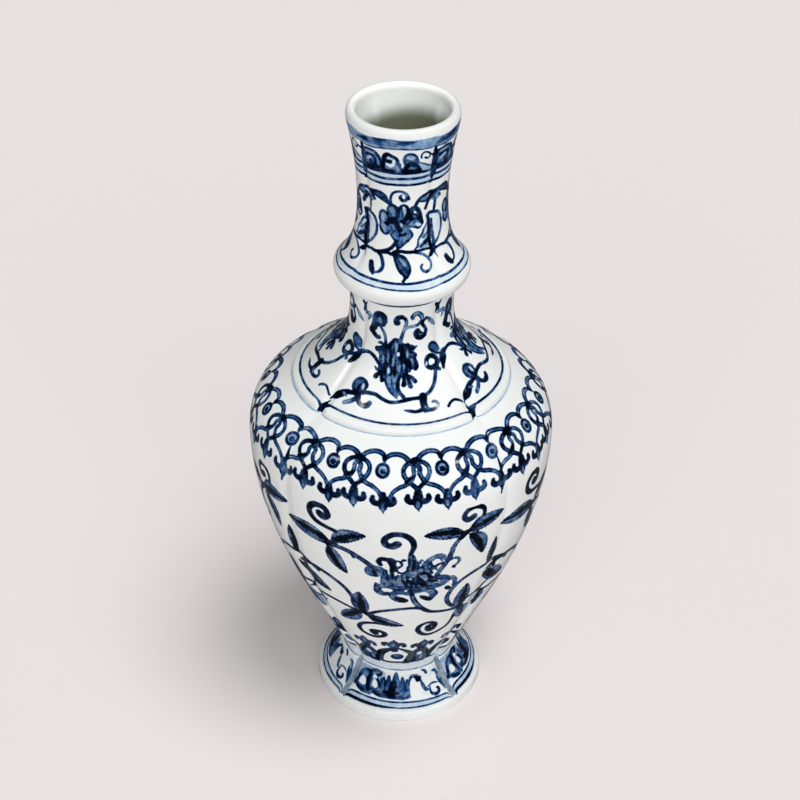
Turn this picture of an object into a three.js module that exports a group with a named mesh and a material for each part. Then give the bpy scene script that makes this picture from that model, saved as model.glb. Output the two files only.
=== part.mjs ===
import * as THREE from "three";

// A blue-and-white porcelain vase with four lobes, luted from five moulded sections.
// It stands on z = 0 with its axis on Z, and the middle of one lobe faces -Y. Lengths are in millimetres.

// Heights of the sections, from the table up
const footHeight = 36.5;
const lowerBodyHeight = 167.5;
const upperBodyHeight = 38.6;
const neckHeight = 67;
const mouthHeight = 110.4;

// Degrees that the foot and the mouth sit turned from the body, left by hand luting
const footTurn = 1.5;
const mouthTurn = -4.5;

// Foot
const rimRadius = 54;
const rimHeight = 7;
const rimStep = 3;
const rimEdgeRound = 1.2;
const restWidth = 6.5;
const flarePull = 7.4;
const flareRise = 9.5;
const waistRadius = 36.9;
const ringHeight = 6.5;
const ringSwell = 0.9;
const seatRadius = 37.2;
const seatWidth = 7;

// Body
const bodyWall = 6;
const baseRound = 2.1;
const baseSwell = 3;
const flankOut = 21;
const flankUp = 46;
const girthRadius = 92.7;
const bellyFall = 57;
const shoulderRise = 26.5;
const shoulderOut = 11.5;
const shoulderDrop = 6.4;
const ledgeRadius = 65.6;
const ledgeSeatWidth = 11;
const floorThickness = 7;
const floorRadius = 34;
const floorRound = 9;

// Ledge, cap and lower neck
const ledgeStep = 5;
const ledgeHeight = 4.2;
const ledgeRound = 1.9;
const capSweep = 22.1;
const capRise = 23.4;
const neckDrop = 30.5;
const neckRadius = 30.4;
const neckStraight = 11.6;
const collarRadius = 31.2;
const neckWall = 5.2;

// Flange, upper neck and lip
const flangeRadius = 39.9;
const flangeHeight = 9.6;
const flangeTopStep = 1.7;
const flangeTopRise = 3.8;
const bellShoulderIn = 8.4;
const bellShoulderUp = 10;
const throatRadius = 25.9;
const throatHeight = 54.4;
const throatFall = 22.3;
const throatRise = 13.3;
const lipRadius = 31.4;
const lipHeight = 9;
const lipRoll = 1.5;
const lipCrown = 1.8;
const lipWall = 4.9;
const mouthWall = 5;
const mouthFlareIn = 3.7;
const mouthFlareDrop = 17.8;

// Lobes: how deep each groove is pressed in where the sections meet, and between
const lobeCount = 4;
const stepsPerHalfLobe = 6;
const grooveCrowding = 1.6;
const creaseShare = 0.7;
const bodyCreaseWidth = 4.5;
const neckCreaseWidth = 2.8;
const footGroove = 3.4;
const girthGroove = 1.6;
const ledgeGroove = 2;
const notchGroove = 3.6;
const capGroove = 2.2;
const collarGroove = 1.4;
const throatGroove = 1.8;

const halfLobe = Math.PI / lobeCount;
const ease = THREE.MathUtils.smoothstep;
const blend = THREE.MathUtils.lerp;

// Follow an outline of straight lines and curves. A stroke goes to a point, past up to two handles.
function trace(start, strokes) {
  const points = [new THREE.Vector2(...start)];
  for (const { to, past = [], steps = 1 } of strokes) {
    const ends = [points.at(-1), ...[...past, to].map((place) => new THREE.Vector2(...place))];
    const Curve = [THREE.LineCurve, THREE.QuadraticBezierCurve, THREE.CubicBezierCurve][past.length];
    points.push(...new Curve(...ends).getPoints(steps).slice(1));
  }
  return points;
}

// Turn an angle measured from a groove so that the steps crowd towards the groove
function crowded(angle) {
  const groove = Math.round(angle / (2 * halfLobe)) * 2 * halfLobe;
  const away = angle - groove;
  return groove + Math.sign(away) * halfLobe * Math.pow(Math.abs(away) / halfLobe, grooveCrowding);
}

// Share of a groove's depth at an angle from it: a narrow crease on a broad, shallow swell
function grooveShare(angle, radius, creaseWidth) {
  const away = angle - Math.round(angle / (2 * halfLobe)) * 2 * halfLobe;
  const crease = Math.exp(-Math.pow((away * radius) / creaseWidth, 2));
  const swell = (1 + Math.cos(lobeCount * angle)) / 2;
  return creaseShare * crease + (1 - creaseShare) * swell;
}

// One moulded section: its closed outline turned about the axis, then pressed in along the grooves
function moulded(name, base, outline, depthAt, creaseWidth, solidRadius = 0) {
  const geometry = new THREE.LatheGeometry(outline, lobeCount * 2 * stepsPerHalfLobe);
  const places = geometry.attributes.position;
  for (let i = 0; i < places.count; i += 1) {
    const radius = Math.hypot(places.getX(i), places.getZ(i));
    const height = places.getY(i);
    const angle = crowded(Math.atan2(places.getX(i), places.getZ(i)));
    const fade = solidRadius > 0 ? Math.min(1, radius / solidRadius) ** 2 : 1;
    const pressed = radius - fade * depthAt(height) * grooveShare(angle, radius, creaseWidth);
    const turned = angle - halfLobe;
    places.setXYZ(i, pressed * Math.sin(turned), -pressed * Math.cos(turned), height);
  }
  geometry.computeVertexNormals();
  const glaze = new THREE.MeshStandardMaterial({ color: 0xe4eaea, roughness: 0.12, metalness: 0 });
  const mesh = new THREE.Mesh(geometry, glaze);
  mesh.name = name;
  mesh.position.z = base;
  return mesh;
}

// Foot: a flat rest, an upright rim band, a hollow flare and a small ring under the body
function foot(base) {
  const waistHeight = footHeight - ringHeight;
  const flareFoot = [rimRadius - rimStep, rimHeight + rimEdgeRound];
  const rest = [rimRadius - restWidth, 0];
  const outline = trace(rest, [
    { to: [rimRadius - rimEdgeRound / 2, 0] },
    { past: [[rimRadius, 0]], to: [rimRadius, rimEdgeRound], steps: 2 },
    { to: [rimRadius, rimHeight - rimEdgeRound] },
    { past: [[rimRadius, rimHeight + rimEdgeRound / 2]], to: flareFoot, steps: 3 },
    { past: [[rimRadius - rimStep - flarePull, rimHeight + flareRise]], to: [waistRadius, waistHeight], steps: 6 },
    {
      past: [[waistRadius + ringSwell * 2, footHeight - ringHeight / 2]],
      to: [seatRadius, footHeight],
      steps: 4,
    },
    { to: [seatRadius - seatWidth, footHeight] },
    {
      past: [
        [waistRadius - seatWidth, waistHeight - flareRise / 2],
        [rimRadius - restWidth - flarePull, flareRise],
      ],
      to: rest,
      steps: 6,
    },
  ]);
  const depthAt = (height) => footGroove * ease(height, rimHeight, rimHeight + flareRise);
  return moulded("foot", base, outline, depthAt, neckCreaseWidth);
}

// Lower body: a thick floor and a full flank up to the widest line
function lowerBody(base) {
  const baseEdge = [seatRadius + baseSwell, baseRound];
  const insideGirth = girthRadius - bodyWall;
  const outline = trace([0, 0], [
    { to: [seatRadius, 0] },
    { past: [[seatRadius + baseSwell / 2, 0]], to: baseEdge, steps: 3 },
    {
      past: [
        [seatRadius + baseSwell + flankOut, baseRound + flankUp],
        [girthRadius, lowerBodyHeight - bellyFall],
      ],
      to: [girthRadius, lowerBodyHeight],
      steps: 14,
    },
    { to: [insideGirth, lowerBodyHeight] },
    {
      past: [
        [insideGirth, lowerBodyHeight - bellyFall],
        [floorRadius + flankOut, floorThickness + flankUp],
      ],
      to: [floorRadius, floorThickness + baseRound],
      steps: 10,
    },
    { past: [[floorRadius - 1, floorThickness]], to: [floorRadius - floorRound, floorThickness], steps: 2 },
    { to: [0, floorThickness] },
  ]);
  const depthAt = (height) => blend(footGroove, girthGroove, ease(height, 0, lowerBodyHeight - bellyFall));
  return moulded("lower_body", base, outline, depthAt, bodyCreaseWidth, seatRadius);
}

// Upper body: the shoulder dome, turned in to the seat of the ledge
function upperBody(base) {
  const insideGirth = girthRadius - bodyWall;
  const outline = trace([girthRadius, 0], [
    {
      past: [
        [girthRadius, shoulderRise],
        [ledgeRadius + shoulderOut, upperBodyHeight - shoulderDrop],
      ],
      to: [ledgeRadius, upperBodyHeight],
      steps: 9,
    },
    { to: [ledgeRadius - ledgeSeatWidth, upperBodyHeight] },
    {
      past: [
        [ledgeRadius + shoulderOut - bodyWall, upperBodyHeight - shoulderDrop - bodyWall],
        [insideGirth, shoulderRise - bodyWall / 2],
      ],
      to: [insideGirth, 0],
      steps: 8,
    },
    { to: [girthRadius, 0] },
  ]);
  const depthAt = (height) => blend(girthGroove, ledgeGroove, height / upperBodyHeight);
  return moulded("upper_body", base, outline, depthAt, bodyCreaseWidth);
}

// Neck: the raised ledge, notched at the grooves, with the cap sweeping up into the lower neck
function neck(base) {
  const boreRadius = neckRadius - neckWall;
  const ledgeTop = [ledgeRadius - ledgeStep, ledgeHeight];
  const seatInside = [ledgeRadius - ledgeSeatWidth, 0];
  const outline = trace([ledgeRadius, 0], [
    { to: [ledgeRadius, ledgeRound / 2] },
    {
      past: [
        [ledgeRadius, ledgeHeight - ledgeRound / 2],
        [ledgeRadius - ledgeRound, ledgeHeight],
      ],
      to: ledgeTop,
      steps: 4,
    },
    {
      past: [
        [ledgeRadius - ledgeStep - capSweep, ledgeHeight + capRise],
        [neckRadius, neckHeight - neckStraight - neckDrop],
      ],
      to: [neckRadius, neckHeight - neckStraight],
      steps: 10,
    },
    { past: [[neckRadius, neckHeight - neckStraight / 2]], to: [collarRadius, neckHeight], steps: 2 },
    { to: [collarRadius - neckWall, neckHeight] },
    { to: [boreRadius, neckHeight - neckStraight] },
    {
      past: [
        [boreRadius, neckHeight - neckStraight - neckDrop],
        [ledgeRadius - ledgeSeatWidth - capSweep, capRise],
      ],
      to: seatInside,
      steps: 8,
    },
    { to: [ledgeRadius, 0] },
  ]);
  const depthAt = (height) => {
    const onLedge = blend(ledgeGroove, notchGroove, ease(height, 0, ledgeHeight / 2));
    const onCap = blend(onLedge, capGroove, ease(height, ledgeHeight, 3 * ledgeHeight));
    return blend(onCap, collarGroove, ease(height, capRise, neckHeight));
  };
  return moulded("neck", base, outline, depthAt, neckCreaseWidth);
}

// Mouth: the round flange, the bell of the upper neck and the rolled lip
function mouth(base) {
  const flangeTop = [flangeRadius - flangeTopStep, flangeHeight + flangeTopRise];
  const lipBase = mouthHeight - lipHeight;
  const insideThroat = throatRadius - mouthWall;
  const insideCollar = collarRadius - neckWall;
  const outline = trace([collarRadius, 0], [
    {
      past: [
        [collarRadius + flangeHeight / 2, flangeTopStep],
        [flangeRadius, flangeHeight / 2],
      ],
      to: [flangeRadius, flangeHeight],
      steps: 5,
    },
    { past: [[flangeRadius, flangeHeight + flangeTopRise / 2]], to: flangeTop, steps: 2 },
    {
      past: [
        [flangeTop[0] - bellShoulderIn, flangeTop[1] + bellShoulderUp],
        [throatRadius, throatHeight - throatFall],
      ],
      to: [throatRadius, throatHeight],
      steps: 8,
    },
    {
      past: [
        [throatRadius, throatHeight + throatRise],
        [lipRadius - mouthFlareIn, lipBase - mouthFlareDrop],
      ],
      to: [lipRadius, lipBase],
      steps: 7,
    },
    {
      past: [
        [lipRadius + lipRoll / 3, lipBase + lipRoll],
        [lipRadius + lipRoll, mouthHeight],
      ],
      to: [lipRadius - lipCrown, mouthHeight],
      steps: 5,
    },
    {
      past: [
        [lipRadius - lipCrown * 2, mouthHeight],
        [lipRadius - lipWall, mouthHeight - lipRoll],
      ],
      to: [lipRadius - lipWall, mouthHeight - lipHeight / 2],
      steps: 3,
    },
    {
      past: [
        [lipRadius - lipWall - mouthFlareIn / 2, lipBase - lipHeight],
        [insideThroat, throatHeight + throatRise],
      ],
      to: [insideThroat, throatHeight],
      steps: 6,
    },
    {
      past: [
        [insideThroat, throatHeight - throatFall],
        [insideCollar, flangeHeight + bellShoulderUp],
      ],
      to: [insideCollar, 0],
      steps: 5,
    },
    { to: [collarRadius, 0] },
  ]);
  const depthAt = (height) => {
    const underFlange = collarGroove * (1 - ease(height, 0, flangeHeight / 2));
    const bellFoot = flangeHeight + flangeTopRise;
    const onBell = throatGroove * ease(height, bellFoot, bellFoot + bellShoulderUp);
    return underFlange + onBell * (1 - ease(height, lipBase - lipHeight / 2, lipBase + lipRoll));
  };
  return moulded("mouth", base, outline, depthAt, neckCreaseWidth);
}

// Stack the sections, each on the flat rim of the one below
const vase = new THREE.Group();
const sections = [
  [foot, footHeight, footTurn],
  [lowerBody, lowerBodyHeight, 0],
  [upperBody, upperBodyHeight, 0],
  [neck, neckHeight, 0],
  [mouth, mouthHeight, mouthTurn],
];
let base = 0;
for (const [make, height, turn] of sections) {
  const section = make(base);
  section.rotation.z = THREE.MathUtils.degToRad(turn);
  vase.add(section);
  base += height;
}

export default vase;
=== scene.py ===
import bpy
import math
import numpy as np
from mathutils import Matrix, Vector


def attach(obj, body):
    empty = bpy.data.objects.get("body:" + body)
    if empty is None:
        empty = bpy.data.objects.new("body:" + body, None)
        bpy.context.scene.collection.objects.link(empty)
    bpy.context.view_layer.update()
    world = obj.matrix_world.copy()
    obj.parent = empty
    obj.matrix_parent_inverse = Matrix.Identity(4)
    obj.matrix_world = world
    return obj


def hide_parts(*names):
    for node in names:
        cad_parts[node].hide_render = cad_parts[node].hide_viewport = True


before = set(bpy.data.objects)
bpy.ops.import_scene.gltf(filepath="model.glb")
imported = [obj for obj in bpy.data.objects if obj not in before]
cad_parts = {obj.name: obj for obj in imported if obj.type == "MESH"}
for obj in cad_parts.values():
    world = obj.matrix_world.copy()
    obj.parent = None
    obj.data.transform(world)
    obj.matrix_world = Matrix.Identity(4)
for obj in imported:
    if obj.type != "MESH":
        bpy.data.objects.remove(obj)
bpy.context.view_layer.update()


# Foot
# A hollow trumpet foot of thick porcelain with an upright rim band and a bare footring.
# It was pressed in a four-lobed mould, luted under the body, painted in cobalt and glazed.

# The vase's sizes are in mm, and all angles in degrees.
MM = 0.001
LOBES = 4
LOBE = 360 / LOBES
FOOT_HEIGHT = 36.5
FOOT_RADIUS = 54
FOOT_EDGE = FOOT_RADIUS - 0.6
REST_RADIUS = 47.5
WAIST_RADIUS = 37.2
WAIST_GROOVE = 3.4
TIGHT_CREASE, BROAD_CREASE = 2.8, 4.5
FOOT_BARE_BELOW = 0.05
CREASE_SHARE, SWELL_SHARE = 0.7, 0.3

CURVE_STEPS = 300
MERGE_WITHIN = 0.002 * MM
ON_AXIS = 0.001
SMOOTH_BELOW = 38
MATCHED_AT_ONCE = 8192
UNPAINTED = -3.0
PLAIN_TONE, PLAIN_SHADE = 0.8, 0.4
TONES = {"line": "tone", "wash": "shade"}


def line(to, gap):
    """A straight run of an outline, with its points about gap apart."""
    return (to,), gap


def curve(*places, gap):
    """A curved run past one or two handles to its last place."""
    return places, gap


def outline(start, runs):
    """Follow lines and curves from a start, in mm. Gives the points and how far each lies along."""
    points = [np.array(start, float)]
    for places, gap in runs:
        ends = [points[-1]] + [np.array(place, float) for place in places]
        steps = np.linspace(0, 1, CURVE_STEPS)[:, None]
        while len(ends) > 1:
            ends = [a * (1 - steps) + b * steps for a, b in zip(ends, ends[1:])]
        path = ends[0] * np.ones_like(steps)
        along = np.r_[0, np.cumsum(np.hypot(*np.diff(path, axis=0).T))]
        first, last = gap if isinstance(gap, tuple) else (gap, gap)
        share = np.linspace(0, 1, max(1, math.ceil(2 * along[-1] / (first + last))) + 1)[1:]
        stops = along[-1] * (first * share + (last - first) * share**2 / 2) / ((first + last) / 2)
        points += list(np.stack([np.interp(stops, along, path[:, k]) for k in (0, 1)], axis=1))
    points = np.array(points)
    return points, np.r_[0, np.cumsum(np.hypot(*np.diff(points, axis=0).T))]


def ease(x, low, high):
    """From 0 at low to 1 at high, slow at both ends."""
    t = np.clip((x - low) / (high - low), 0, 1)
    return t * t * (3 - 2 * t)


def blend(a, b, share):
    """From a at a share of 0 to b at 1."""
    return a + (b - a) * share


def groove_share(angle, radius, crease):
    """How much of a groove's depth is pressed in: a narrow crease on a broad, shallow swell."""
    away = (angle + LOBE / 2) % LOBE - LOBE / 2
    narrow = np.exp(-((np.radians(away) * radius / crease) ** 2))
    return CREASE_SHARE * narrow + SWELL_SHARE * (1 + np.cos(np.radians(LOBES * angle))) / 2


class Shell:
    """A section spun from its closed outline and pressed in at its four grooves, ready to paint.

    A solid section is closed over the axis, and is pressed in less and less within that radius.
    """

    def __init__(
        self, name, base, start, runs, painted, columns, depth_at, crease, blue, turn=0.0, solid=None
    ):
        self.points, along = outline(start, runs)
        if not solid:
            self.points, along = self.points[:-1], along[:-1]
        self.columns = columns
        self.spin(name, base, solid)
        self.press(base, depth_at, crease, turn, solid)
        low, high = (int(np.argmin(np.hypot(*(self.points - place).T))) for place in painted)
        self.rows = np.arange(low, high + 1)
        self.rise = along[low : high + 1] - along[low]
        self.radii = self.points[low : high + 1, 0]
        self.plain = {
            "line": UNPAINTED,
            "wash": UNPAINTED,
            "tone": PLAIN_TONE,
            "shade": PLAIN_SHADE,
            "blue": blue,
        }
        size = (len(self.rows), columns)
        self.grids = {layer: np.full(size, value) for layer, value in self.plain.items()}

    def spin(self, name, base, solid):
        """Lay a ring of points along the outline and turn it round the axis."""
        bpy.ops.object.select_all(action="DESELECT")
        bpy.ops.mesh.primitive_circle_add(vertices=len(self.points), radius=0.1)
        self.piece = bpy.context.object
        self.piece.name = name
        self.piece.data.name = name
        mesh = self.piece.data
        for vertex, (radius, height) in zip(mesh.vertices, self.points):
            vertex.co = (0, -radius * MM, (base + height) * MM)
        if solid:
            bpy.ops.object.mode_set(mode="EDIT")
            bpy.ops.mesh.select_all(action="DESELECT")
            bpy.ops.object.mode_set(mode="OBJECT")
            for edge in mesh.edges:
                edge.select = all(mesh.vertices[end].co.y == 0 for end in edge.vertices)
            bpy.ops.object.mode_set(mode="EDIT")
            bpy.ops.mesh.delete(type="EDGE_FACE")
            bpy.ops.object.mode_set(mode="OBJECT")
        turning = self.piece.modifiers.new("turned", "SCREW")
        turning.steps = turning.render_steps = self.columns
        turning.use_merge_vertices, turning.merge_threshold = True, MERGE_WITHIN
        bpy.ops.object.modifier_apply(modifier="turned")
        bpy.ops.object.mode_set(mode="EDIT")
        bpy.ops.mesh.select_all(action="SELECT")
        bpy.ops.mesh.normals_make_consistent(inside=False)
        bpy.ops.object.mode_set(mode="OBJECT")

    def press(self, base, depth_at, crease, turn, solid):
        """Find each point's row and column, press the wall in at the grooves and turn the section."""
        mesh = self.piece.data
        places = np.zeros(len(mesh.vertices) * 3, np.float32)
        mesh.vertices.foreach_get("co", places)
        places = places.reshape(-1, 3).astype(float) / MM
        radius = np.hypot(places[:, 0], places[:, 1])
        height = places[:, 2] - base
        angle = np.degrees(np.arctan2(places[:, 0], -places[:, 1]))
        self.column = np.round(angle / 360 * self.columns).astype(int) % self.columns
        self.row = np.zeros(len(places), int)
        for first in range(0, len(places), MATCHED_AT_ONCE):
            part = slice(first, first + MATCHED_AT_ONCE)
            gaps = np.hypot(radius[part, None] - self.points[:, 0], height[part, None] - self.points[:, 1])
            self.row[part] = np.argmin(gaps, axis=1)
        fade = np.minimum(1, radius / solid) ** 2 if solid else 1
        pressed = radius - fade * depth_at(height) * groove_share(angle + LOBE / 2, radius, crease)
        turned = np.radians(angle + turn)
        places = np.stack([pressed * np.sin(turned), -pressed * np.cos(turned), places[:, 2]], axis=1)
        mesh.vertices.foreach_set("co", (places * MM).astype(np.float32).ravel())
        mesh.update()
        bpy.ops.object.shade_smooth_by_angle(angle=math.radians(SMOOTH_BELOW))

    def window(self, track, reach):
        """Rows and columns within reach of a track of (degrees, mm) places."""
        low, high = track.min(axis=0), track.max(axis=0)
        rows = np.flatnonzero((self.rise > low[1] - reach) & (self.rise < high[1] + reach))
        side = math.degrees(reach / self.radii[rows].min())
        step = 360 / self.columns
        columns = np.arange(math.floor((low[0] - side) / step), math.ceil((high[0] + side) / step) + 1)
        return rows, columns, columns * step

    def distances(self, track, halves, rows, angles):
        """How deep each place lies inside a track of given half-widths, in mm, and the share of it passed."""
        middle = (track[1:] + track[:-1]) / 2
        run = track[1:] - track[:-1]
        radius = np.interp(middle[:, 1], self.rise, self.radii)
        across = np.radians(run[:, 0]) * radius / 2
        up = run[:, 1] / 2
        size = np.maximum(across**2 + up**2, 1e-9)[:, None, None]
        dx = np.radians(angles[None, None, :] - middle[:, 0, None, None]) * self.radii[rows][None, :, None]
        dy = np.broadcast_to((self.rise[rows][None, :] - middle[:, 1, None])[:, :, None], dx.shape)
        share = (dx * across[:, None, None] + dy * up[:, None, None]) / size
        held = np.clip(share, -1, 1)
        gap = np.hypot(dx - held * across[:, None, None], dy - held * up[:, None, None])
        sheets = blend(halves[:-1, None, None], halves[1:, None, None], (held + 1) / 2) - gap
        best = sheets.argmax(axis=0)[None]
        passed = (best + (np.take_along_axis(held, best, axis=0) + 1) / 2) / len(middle)
        return sheets.max(axis=0), passed[0]

    def lay(self, name, rows, columns, sheet, tone):
        """Keep the greater of what is there and the new sheet of distances, with its tone."""
        grid, tones = self.grids[name], self.grids[TONES[name]]
        spot = np.ix_(rows, columns % self.columns)
        old = grid[spot]
        share = np.maximum(ease(sheet - old, -0.5, 0.5) * (sheet > -1), ease(sheet, -0.3, 0.3))
        tones[spot] = blend(tones[spot], tone, share)
        grid[spot] = np.maximum(old, sheet)

    def scrape(self, rows, columns, sheet):
        """Take colour away where it was scraped or left out."""
        spot = np.ix_(rows, columns % self.columns)
        for name in ("line", "wash"):
            self.grids[name][spot] = np.minimum(self.grids[name][spot], -sheet)

    def groove(self, half, low, high, shade, clear=True):
        """Let a grey wash run down each groove and clear the strokes there. On the body and the shoulder it
        is a faint painted shade in the crease.
        """
        angles = np.arange(self.columns) * 360 / self.columns
        away = (angles + LOBE) % LOBE - LOBE / 2
        gap = np.radians(np.abs(away))[None, :] * self.radii[:, None]
        held = (self.rise > low) & (self.rise < high)
        sheet = np.where(held[:, None], half - gap, UNPAINTED)
        if clear:
            self.grids["line"] = np.minimum(self.grids["line"], np.maximum(-sheet, UNPAINTED))
        self.grids["blue"] *= 1 - ease(sheet, -0.6, 0.8)
        everywhere = np.arange(len(self.rows)), np.arange(self.columns)
        self.lay("wash", *everywhere, np.maximum(sheet, UNPAINTED), shade)

    def unwrap(self):
        """Lay the rows and columns out flat as the map that the paint is baked through."""
        mesh = self.piece.data
        sizes = (len(mesh.loops), len(mesh.polygons), len(mesh.polygons))
        corners, starts, totals = (np.zeros(size, np.int32) for size in sizes)
        mesh.loops.foreach_get("vertex_index", corners)
        mesh.polygons.foreach_get("loop_start", starts)
        mesh.polygons.foreach_get("loop_total", totals)
        at_axis = (self.points[self.row, 0] < ON_AXIS)[corners]
        across = np.where(at_axis, -1, self.column[corners] / self.columns)
        up = self.row[corners] / len(self.points)
        # A face that closes a ring takes its first row or column as the one past the last.
        for share in (across, up):
            share += (np.repeat(np.maximum.reduceat(share, starts), totals) - share > 0.5) & ~at_axis
        widest = np.repeat(np.maximum.reduceat(across, starts), totals)
        across = np.where(at_axis, widest - 0.5 / self.columns, across)
        flat = mesh.uv_layers.new(name="OFBake")
        flat.uv.foreach_set("vector", np.stack([across, up], axis=1).astype(np.float32).ravel())

    def finish(self, node, bare_below=None):
        """Write the painted grids to the mesh, glaze it and set it in place of its CAD node."""
        mesh = self.piece.data
        order = np.full(len(self.points), -1)
        order[self.rows] = np.arange(len(self.rows))
        place = order[self.row]
        painted = place >= 0
        layers = {}
        for name, grid in self.grids.items():
            layers[name] = np.full(len(self.row), self.plain[name])
            layers[name][painted] = grid[place[painted], self.column[painted]]
        # The inner walls are marked so that the glaze can give them its painted shade.
        hollow = np.where(np.arange(len(self.points)) > self.rows[-1], 1.0, 0.0)
        layers["hollow"] = hollow[self.row]
        layers["bare"] = np.where(self.points[self.row, 1] < (bare_below or -1), 1.0, 0.0)
        for name, values in layers.items():
            layer = mesh.attributes.new(name, "FLOAT", "POINT")
            layer.data.foreach_set("value", values.astype(np.float32))
        self.unwrap()
        mesh.materials.append(porcelain)
        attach(self.piece, "root")
        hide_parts(node)


TRACK_STEPS = 6
ENDS = 0.35
PALES = 0.16
BRUSH_REACH, TINT_REACH = 2.5, 2.0
HELD_PAST = 32
# The waves along which a lobe's marks sway: their pace across and up, their start and their size.
WAVES_ACROSS, WAVE_UP = 4, 14
WAVE_START = 3
SWAY_ACROSS, SWAY_UP = 0.8, 0.5


def smoothed(places):
    """A flowing track through a few places."""
    knots = np.array(places, float)
    if len(knots) == 2:
        knots = np.array([knots[0], knots.mean(axis=0), knots[1]])
    padded = np.vstack([2 * knots[0] - knots[1], knots, 2 * knots[-1] - knots[-2]])
    steps = np.linspace(0, 1, TRACK_STEPS + 1)[:-1, None]
    track = []
    for a, b, c, d in zip(padded, padded[1:], padded[2:], padded[3:]):
        bend = 2 * b + (c - a) * steps + (2 * a - 5 * b + 4 * c - d) * steps**2
        track.append((bend + (3 * b - a - 3 * c + d) * steps**3) / 2)
    return np.vstack(track + [knots[-1:]])


def stroke(shell, mark, knots):
    """Follow a mark's track, pressed hardest in its middle. Gives its place, its distances and its tone."""
    track = smoothed(knots)
    share = np.linspace(0, 1, len(track))
    press = blend(mark["heel"], 1, ease(share, 0, ENDS)) * blend(mark["toe"], 1, ease(1 - share, 0, ENDS))
    rows, columns, angles = shell.window(track, mark["width"] / 2 + BRUSH_REACH)
    sheet, passed = shell.distances(track, mark["width"] / 2 * press, rows, angles)
    return rows, columns, np.maximum(sheet, UNPAINTED), mark["tone"] + PALES / 2 - PALES * passed


def draw_brush(shell, mark, knots):
    shell.lay("line", *stroke(shell, mark, knots))


def brush(*places, width=2.2, heel=0.7, toe=0.45, tone=0.85, drawn=draw_brush):
    """One brush mark through its places, in degrees and mm, thinner at its heel and toe."""
    return dict(drawn=drawn, places=places, width=width, heel=heel, toe=toe, tone=tone)


def even(*places, width, tone):
    """A line that is as thick at its ends as in its middle."""
    return brush(*places, width=width, heel=1, toe=1, tone=tone)


def draw_tint(shell, mark, knots):
    track = smoothed(knots)
    track = np.vstack([track, track[:1]])
    rows, columns, angles = shell.window(track, TINT_REACH)
    edge = -shell.distances(track, np.zeros(len(track)), rows, angles)[0]
    inside = np.zeros(edge.shape, bool)
    u, v = angles[None, :], shell.rise[rows][:, None]
    for (ua, va), (ub, vb) in zip(track, track[1:]):
        if va != vb:
            inside ^= ((va > v) != (vb > v)) & (u < (ub - ua) * (v - va) / (vb - va) + ua)
    sheet = np.maximum(np.where(inside, edge, -edge), UNPAINTED)
    if mark["shade"]:
        shell.lay("wash", rows, columns, sheet, mark["shade"])
    else:
        shell.scrape(rows, columns, sheet)


def tint(*places, shade):
    """A wash inside a closed outline. One of no shade leaves its place white."""
    return dict(drawn=draw_tint, places=places, shade=shade)


def spread(marks, share):
    """Bring marks nearer to the middle of their lobe, or away from it, and leave the grooves in place."""
    placed = []
    for mark in marks:
        places = []
        for u, v in mark["places"]:
            off = (u + LOBE / 2) % LOBE - LOBE / 2
            held = float(ease(abs(off), HELD_PAST, LOBE / 2))
            places.append((u - off + off * blend(share, 1, held), v))
        placed.append(dict(mark, places=tuple(places)))
    return placed


def paint(shell, marks, seed, share, unit=0.5):
    """Paint every lobe with the same marks, each lobe a little differently, as a hand does."""
    marks = spread(marks, share)
    dice = np.random.default_rng(seed)
    for lobe in range(LOBES):
        sway = dice.uniform(-1, 1, (2, 4)) * (0 if lobe == 0 else unit)
        for mark in marks:
            knots = np.array([(u + lobe * LOBE, v) for u, v in mark["places"]], float)
            u, v = np.radians(knots[:, 0] * WAVES_ACROSS), knots[:, 1] / WAVE_UP
            across, up = (
                a * np.sin(u + b * WAVE_START) + c * np.sin(v + d * WAVE_START) for a, b, c, d in sway
            )
            knots += np.stack([across * SWAY_ACROSS, up * SWAY_UP], axis=1)
            mark["drawn"](shell, mark, knots)


class Wire:
    """A node's output that can be used in sums."""

    def __init__(self, recipe, socket):
        self.recipe, self.socket = recipe, socket

    def maths(self, operation, *values):
        return self.recipe.node("ShaderNodeMath", {"operation": operation}, dict(enumerate(values)))

    def __add__(self, other):
        return self.maths("ADD", self, other)

    def __sub__(self, other):
        return self.maths("SUBTRACT", self, other)

    def __rsub__(self, other):
        return self.maths("SUBTRACT", other, self)

    def __mul__(self, other):
        return self.maths("MULTIPLY", self, other)

    def most(self, other):
        return self.maths("MAXIMUM", self, other)

    __radd__ = __add__
    __rmul__ = __mul__


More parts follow.
